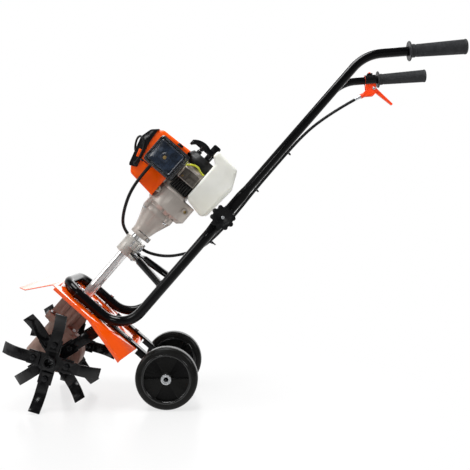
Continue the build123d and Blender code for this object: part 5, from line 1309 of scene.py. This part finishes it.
@dataclass
class Engine(Assembly):
    """Engine on the drive tube's upper end.

    Attributes:
        frame_levels: distance behind the front, distance in from the outline and corner radius of each step.
        boss_blocks: size, edge radius and middle of each block, as in clip and window.
        rope_strand: radius of a strand and its distance from the rope's axis.
        web_low: height of the web's lower edge over arch_centre.
    """

    dressing: Dressing = (
        (CASTING, 0.7, ("bell_housing", "fan_housing", "crankcase", "cylinder", "carburettor")),
        (PLASTIC, 0.6, ("air_filter_base", "air_filter_cover", "shroud_trim", "starter_grip", "choke_lever",
                        "fuel_cap")),
        (FINS_EDGE_HIGHLIGHTS, 0.4, ("crankcase_grille",)),
        (MATT_PLASTIC, 0.6, ("starter_housing",)),
        (SHROUD_PLASTIC, 0.5, ("top_shroud",)),
        (RUBBER, 0.4, ("plug_boot",)),
        (HOT_STEEL, 0.4, ("muffler",)),
        (TANK, 0.0, ("fuel_tank",)),
        (HOSE, 0.0, ("fuel_line",)),
        (ROPE, 0.0, ("starter_rope",)),
        (IRON, 0.3, ("flywheel",)),
        (STEEL, 0.2, ("crankshaft", "clutch_shoes")))
    filter_middle: Triple = (-64.5, 0.0, 558.5)
    filter_half: Pair = (44.5, 39.5)
    filter_front: float = -130.0
    frame_levels: tuple[Triple, ...] = (
        (28.0, 0.0, 9.0), (21.0, 0.0, 9.0), (20.0, 1.0, 8.2), (19.8, 2.6, 7.4), (0.7, 3.4, 7.0), (0.0, 4.2, 6.4),
        (0.0, 5.9, 5.7), (2.2, 6.6, 5.5), (2.2, 9.6, 4.6), (5.2, 9.8, 4.6))
    panel_levels: tuple[Triple, ...] = (
        (5.4, 9.6, 4.6), (2.0, 9.6, 4.6), (0.6, 10.0, 4.5), (0.2, 10.4, 4.4), (0.2, 11.2, 4.2), (0.7, 11.7, 4.1),
        (3.0, 12.4, 4.0))
    panel_peak: float = 2.0
    nut_place: Triple = (-66.0, -128.0, 556.0)
    seat_outline: Profile = ((7.4, -2), (11.4, -2), (11.4, 1.0), (10.8, 1.7), (8.2, 1.7), (7.4, 0.8), (7.4, -2))
    nut_outline: Profile = ((0, -2), (4.6, -2), (4.6, 1.0), (4.0, 1.6), (2.4, 1.6), (2.0, 2.4), (0, 2.4))
    boss: Triple = (4.5, -58.0, 559.5)
    boss_blocks: tuple[Block, ...] = (
        ((47.0, 29.0, 1.6), 0.5, (0, 0, 0.6)), ((16.6, 26.0, 4.4), 1.1, (-13.2, 0, 2.2)),
        ((23.0, 11.0, 4.4), 1.1, (10.0, 7.8, 2.2)), ((23.0, 12.6, 4.4), 1.1, (10.0, -7.2, 2.2)))
    # The first block is a rim on the plate's left edge in light casting, a painted highlight for the light caught
    # along that edge; the second is the flange above the plate.
    flange_and_highlight_rim_blocks: tuple[Block, ...] = (
        ((3.4, 24.0, 5.0), 1.5, (-23.6, -4.0, 2.0)), ((27.0, 7.0, 6.0), 1.6, (1.0, 18.0, 1.4)))
    boss_screw: Triple = (-15.0, -8.0, 4.2)
    clip: Block = ((15.0, 7.0, 5.0), 1.2, (0, 0, 0))
    clip_place: Triple = (-64.0, -59.5, 606.0)
    window: Block = ((7.0, 21.0, 1.6), 0.7, (0, 0, 0))
    window_place: Triple = (-131.5, -61.2, 523.0)
    window_lean: Triple = (0.95, 0.0, 0.3)
    ear_screws: tuple[Triple, ...] = ((-37.0, -55.0, 485.0), (55.0, -55.0, 485.0))
    rope_place: Pair = (-22.0, -6.0)
    rope_levels: Pair = (611.0, 631.0)
    rope_strand: Pair = (0.95, 1.05)
    rope_strands: int = 3
    rope_turns: int = 26
    rope_steps: int = 10
    web_radius: float = 34.6
    web_low: float = 27.6
    web_thick: float = 9.0
    arch_centre: float = 608.0
    foot_cap: Triple = (22.0, 24.0, 34.0)
    foot_edge: float = 4.5
    foot_top: Triple = (4.5, 23.0, 654.0)
    hose: CordRoute = CordRoute("fuel_hose", (
        (-42, -66, 552), (-32, -66, 552), (-22, -66, 580), (4, -62, 595), (19, -49, 586), (32.8, -49, 586)), 2.8)
    hose_sink: float = 0.4
    lead: CordRoute = CordRoute("plug_lead", (
        (-152, -6, 521), (-156, -20, 527), (-163, -44, 548), (-156, -63, 560), (-139, -65.5, 553), (-127, -65.5, 535),
        (-122, -65.5, 515), (-122, -65, 505), (-121, -60.5, 497)), 2.9)
    lead_sink: float = 1.5

    def add_pieces(self) -> None:
        """Cords and fine pieces."""
        self.make_cords()
        self.make_filter_cover()
        self.make_boss_plate()
        self.make_shroud_fittings()
        self.make_rope()
        self.make_starter_fittings()
        self.make_tank_fittings()

    def make_cords(self) -> None:
        """Fuel hose and plug lead."""
        hose = make_piece(self.hose.name, self.hose.tube(), HOSE, sharp=60)
        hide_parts("fuel_line")
        self.hose.declare(hose, "medium", [])
        lead = make_piece(self.lead.name, self.lead.tube(), MATT_PLASTIC, sharp=60)
        self.lead.declare(lead, "medium", [])

    def make_filter_cover(self) -> None:
        """Filter cover: frame with a groove, sunk panel with four shallow slopes, and its nut."""
        rim, _ = self.stepped(self.frame_levels)
        panel, sunk = self.stepped(self.panel_levels)
        bmesh.ops.poke(panel, faces=sunk, offset=self.panel_peak)
        cover = make_piece("filter_lid", moved(rim, MACHINE.matrix), FILTER_FRAME_EDGE_HIGHLIGHTS, sharp=24)
        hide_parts("air_filter_cover")
        make_piece("filter_panel", moved(panel, MACHINE.matrix), FILTER_PANEL_PAINTED_REFLECTIONS, sharp=24)
        stand = MACHINE.stand(self.nut_place)
        seat, nut = turned(self.seat_outline, steps=40), turned(self.nut_outline, steps=20)
        make_piece("filter_nut_seat", moved(seat, stand), FILTER_PANEL_PAINTED_REFLECTIONS)
        make_piece("filter_nut", moved(nut, stand), DULL_BRASS, sharp=20)

    def stepped(self, levels: tuple[Triple, ...]) -> tuple[Mesh, list[bmesh.types.BMFace]]:
        """Closed shape of the filter cover's outline, drawn in by steps.

        Args:
            levels: distance behind the front, distance in from the outline and corner radius of each step.

        Returns:
            The mesh in the machine's frame, and its last face.
        """
        mesh = bmesh.new()
        loops = []
        for behind, inwards, corner in levels:
            middle = Vector(self.filter_middle) + RIGHT * (self.filter_front + behind)
            loops.append(rounded_loop(mesh, middle, tuple(half - inwards for half in self.filter_half), corner))
        for near, far in zip(loops, loops[1:]):
            bmesh.ops.bridge_loops(mesh, edges=near + far)
        bmesh.ops.contextual_create(mesh, geom=loops[0])
        last = bmesh.ops.contextual_create(mesh, geom=loops[-1])["faces"]
        return outward(mesh), last

    def make_boss_plate(self) -> None:
        """Cover plate on the crankcase's left boss, its pads, flange and screw, a light rim on its left edge that is
        a painted highlight, and the fan housing's ear screws.
        """
        stand = MACHINE.stand(self.boss)
        plate, flange = (moved(joined(*(block(*row) for row in rows)), stand)
                         for rows in (self.boss_blocks, self.flange_and_highlight_rim_blocks))
        make_piece("boss_plate", plate, ROUGH_CASTING)
        make_piece("boss_flange_and_highlight_rim", flange, CASTING)
        screw = moved(round_screw(radius=2.9, high=2.2), stand @ Matrix.Translation(self.boss_screw))
        make_piece("boss_screws", screw, DULL_BRASS)
        ears = [moved(hex_screw(across=5.8, high=2.4), MACHINE.stand(place)) for place in self.ear_screws]
        make_piece("ear_screw_caps", joined(*ears), DULL_BRASS)

    def make_shroud_fittings(self) -> None:
        """Lead's grommet, clip on the shroud's rear edge and the orange window in the black trim."""
        leaving = Vector(self.lead.places[-1]) + RIGHT * self.lead_sink
        ring = moved(grommet(bore=3.0, rim=6.4, low=-2.0, top=1.2), MACHINE.stand(leaving))
        make_piece("lead_grommet", ring, RUBBER)
        clip = moved(block(*self.clip), MACHINE.stand(self.clip_place))
        make_piece("shroud_clip", clip, PLASTIC)
        leaning = MACHINE.stand(self.window_place, x_axis=Vector(self.window_lean))
        make_piece("trim_window", moved(block(*self.window), leaning), SHROUD_PLASTIC)

    def make_rope(self) -> None:
        """Starter rope of three strands between the starter and its grip."""
        low, high = self.rope_levels
        radius, out = self.rope_strand
        steps = self.rope_turns * self.rope_steps
        strands = []
        for index in range(self.rope_strands):
            strand = bmesh.new()
            bmesh.ops.create_circle(strand, cap_ends=True, segments=6, radius=radius,
                                    matrix=Matrix.Translation((out, 0, low)) @ Matrix.Rotation(math.pi / 2, 4, "X"))
            start = math.tau * index / self.rope_strands
            strands.append(carried_round(strand, start, self.rope_turns * math.tau, steps, (high - low) / steps))
        place = MACHINE.matrix @ Matrix.Translation((*self.rope_place, 0))
        rope = make_piece("starter_cord", moved(joined(*strands), place), ROPE, None, sharp=60)
        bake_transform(rope)
        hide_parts("starter_rope")

    def make_starter_fittings(self) -> None:
        """Web that fills the crown of the grip's arch, and the cap on the starter's foot."""
        web = bmesh.new()
        bmesh.ops.create_circle(web, cap_ends=True, segments=96, radius=self.web_radius)
        bmesh.ops.bisect_plane(web, geom=whole(web), plane_co=(0, self.web_low, 0), plane_no=RIGHT, clear_inner=True)
        raised = bmesh.ops.extrude_face_region(web, geom=web.faces[:])["geom"]
        bmesh.ops.translate(web, vec=UP * self.web_thick,
                            verts=[part for part in raised if isinstance(part, bmesh.types.BMVert)])
        centre = Vector((*self.rope_place, self.arch_centre)) + RIGHT * (self.web_thick / 2)
        web = moved(outward(web), MACHINE.stand(centre))
        make_piece("starter_grip_web", web, PLASTIC, Body.STARTER, sharp=30)
        cap = moved(block(self.foot_cap, self.foot_edge, segments=4), MACHINE.stand(self.foot_top, UP))
        make_piece("starter_foot_cap", cap, PLASTIC, sharp=40)

    def make_tank_fittings(self) -> None:
        """Grommet where the hose enters the tank."""
        end = MACHINE.stand(Vector(self.hose.places[-1]) + REAR * self.hose_sink, -REAR, RIGHT)
        ring = moved(grommet(bore=2.9, rim=6.2, low=-0.4, top=1.0), end)
        make_piece("tank_grommet", ring, RUBBER)


def main() -> None:
    """Build the studio and the machine's looks."""
    logging.basicConfig(level=logging.INFO, format="%(name)s: %(message)s")
    Studio().build()
    for assembly in (Rotor(), Gearbox(), GuardAndFrame(), Handles(), Engine()):
        assembly.build()
        LOG.info("built %s", type(assembly).__name__)


if __name__ == "__main__":
    main()
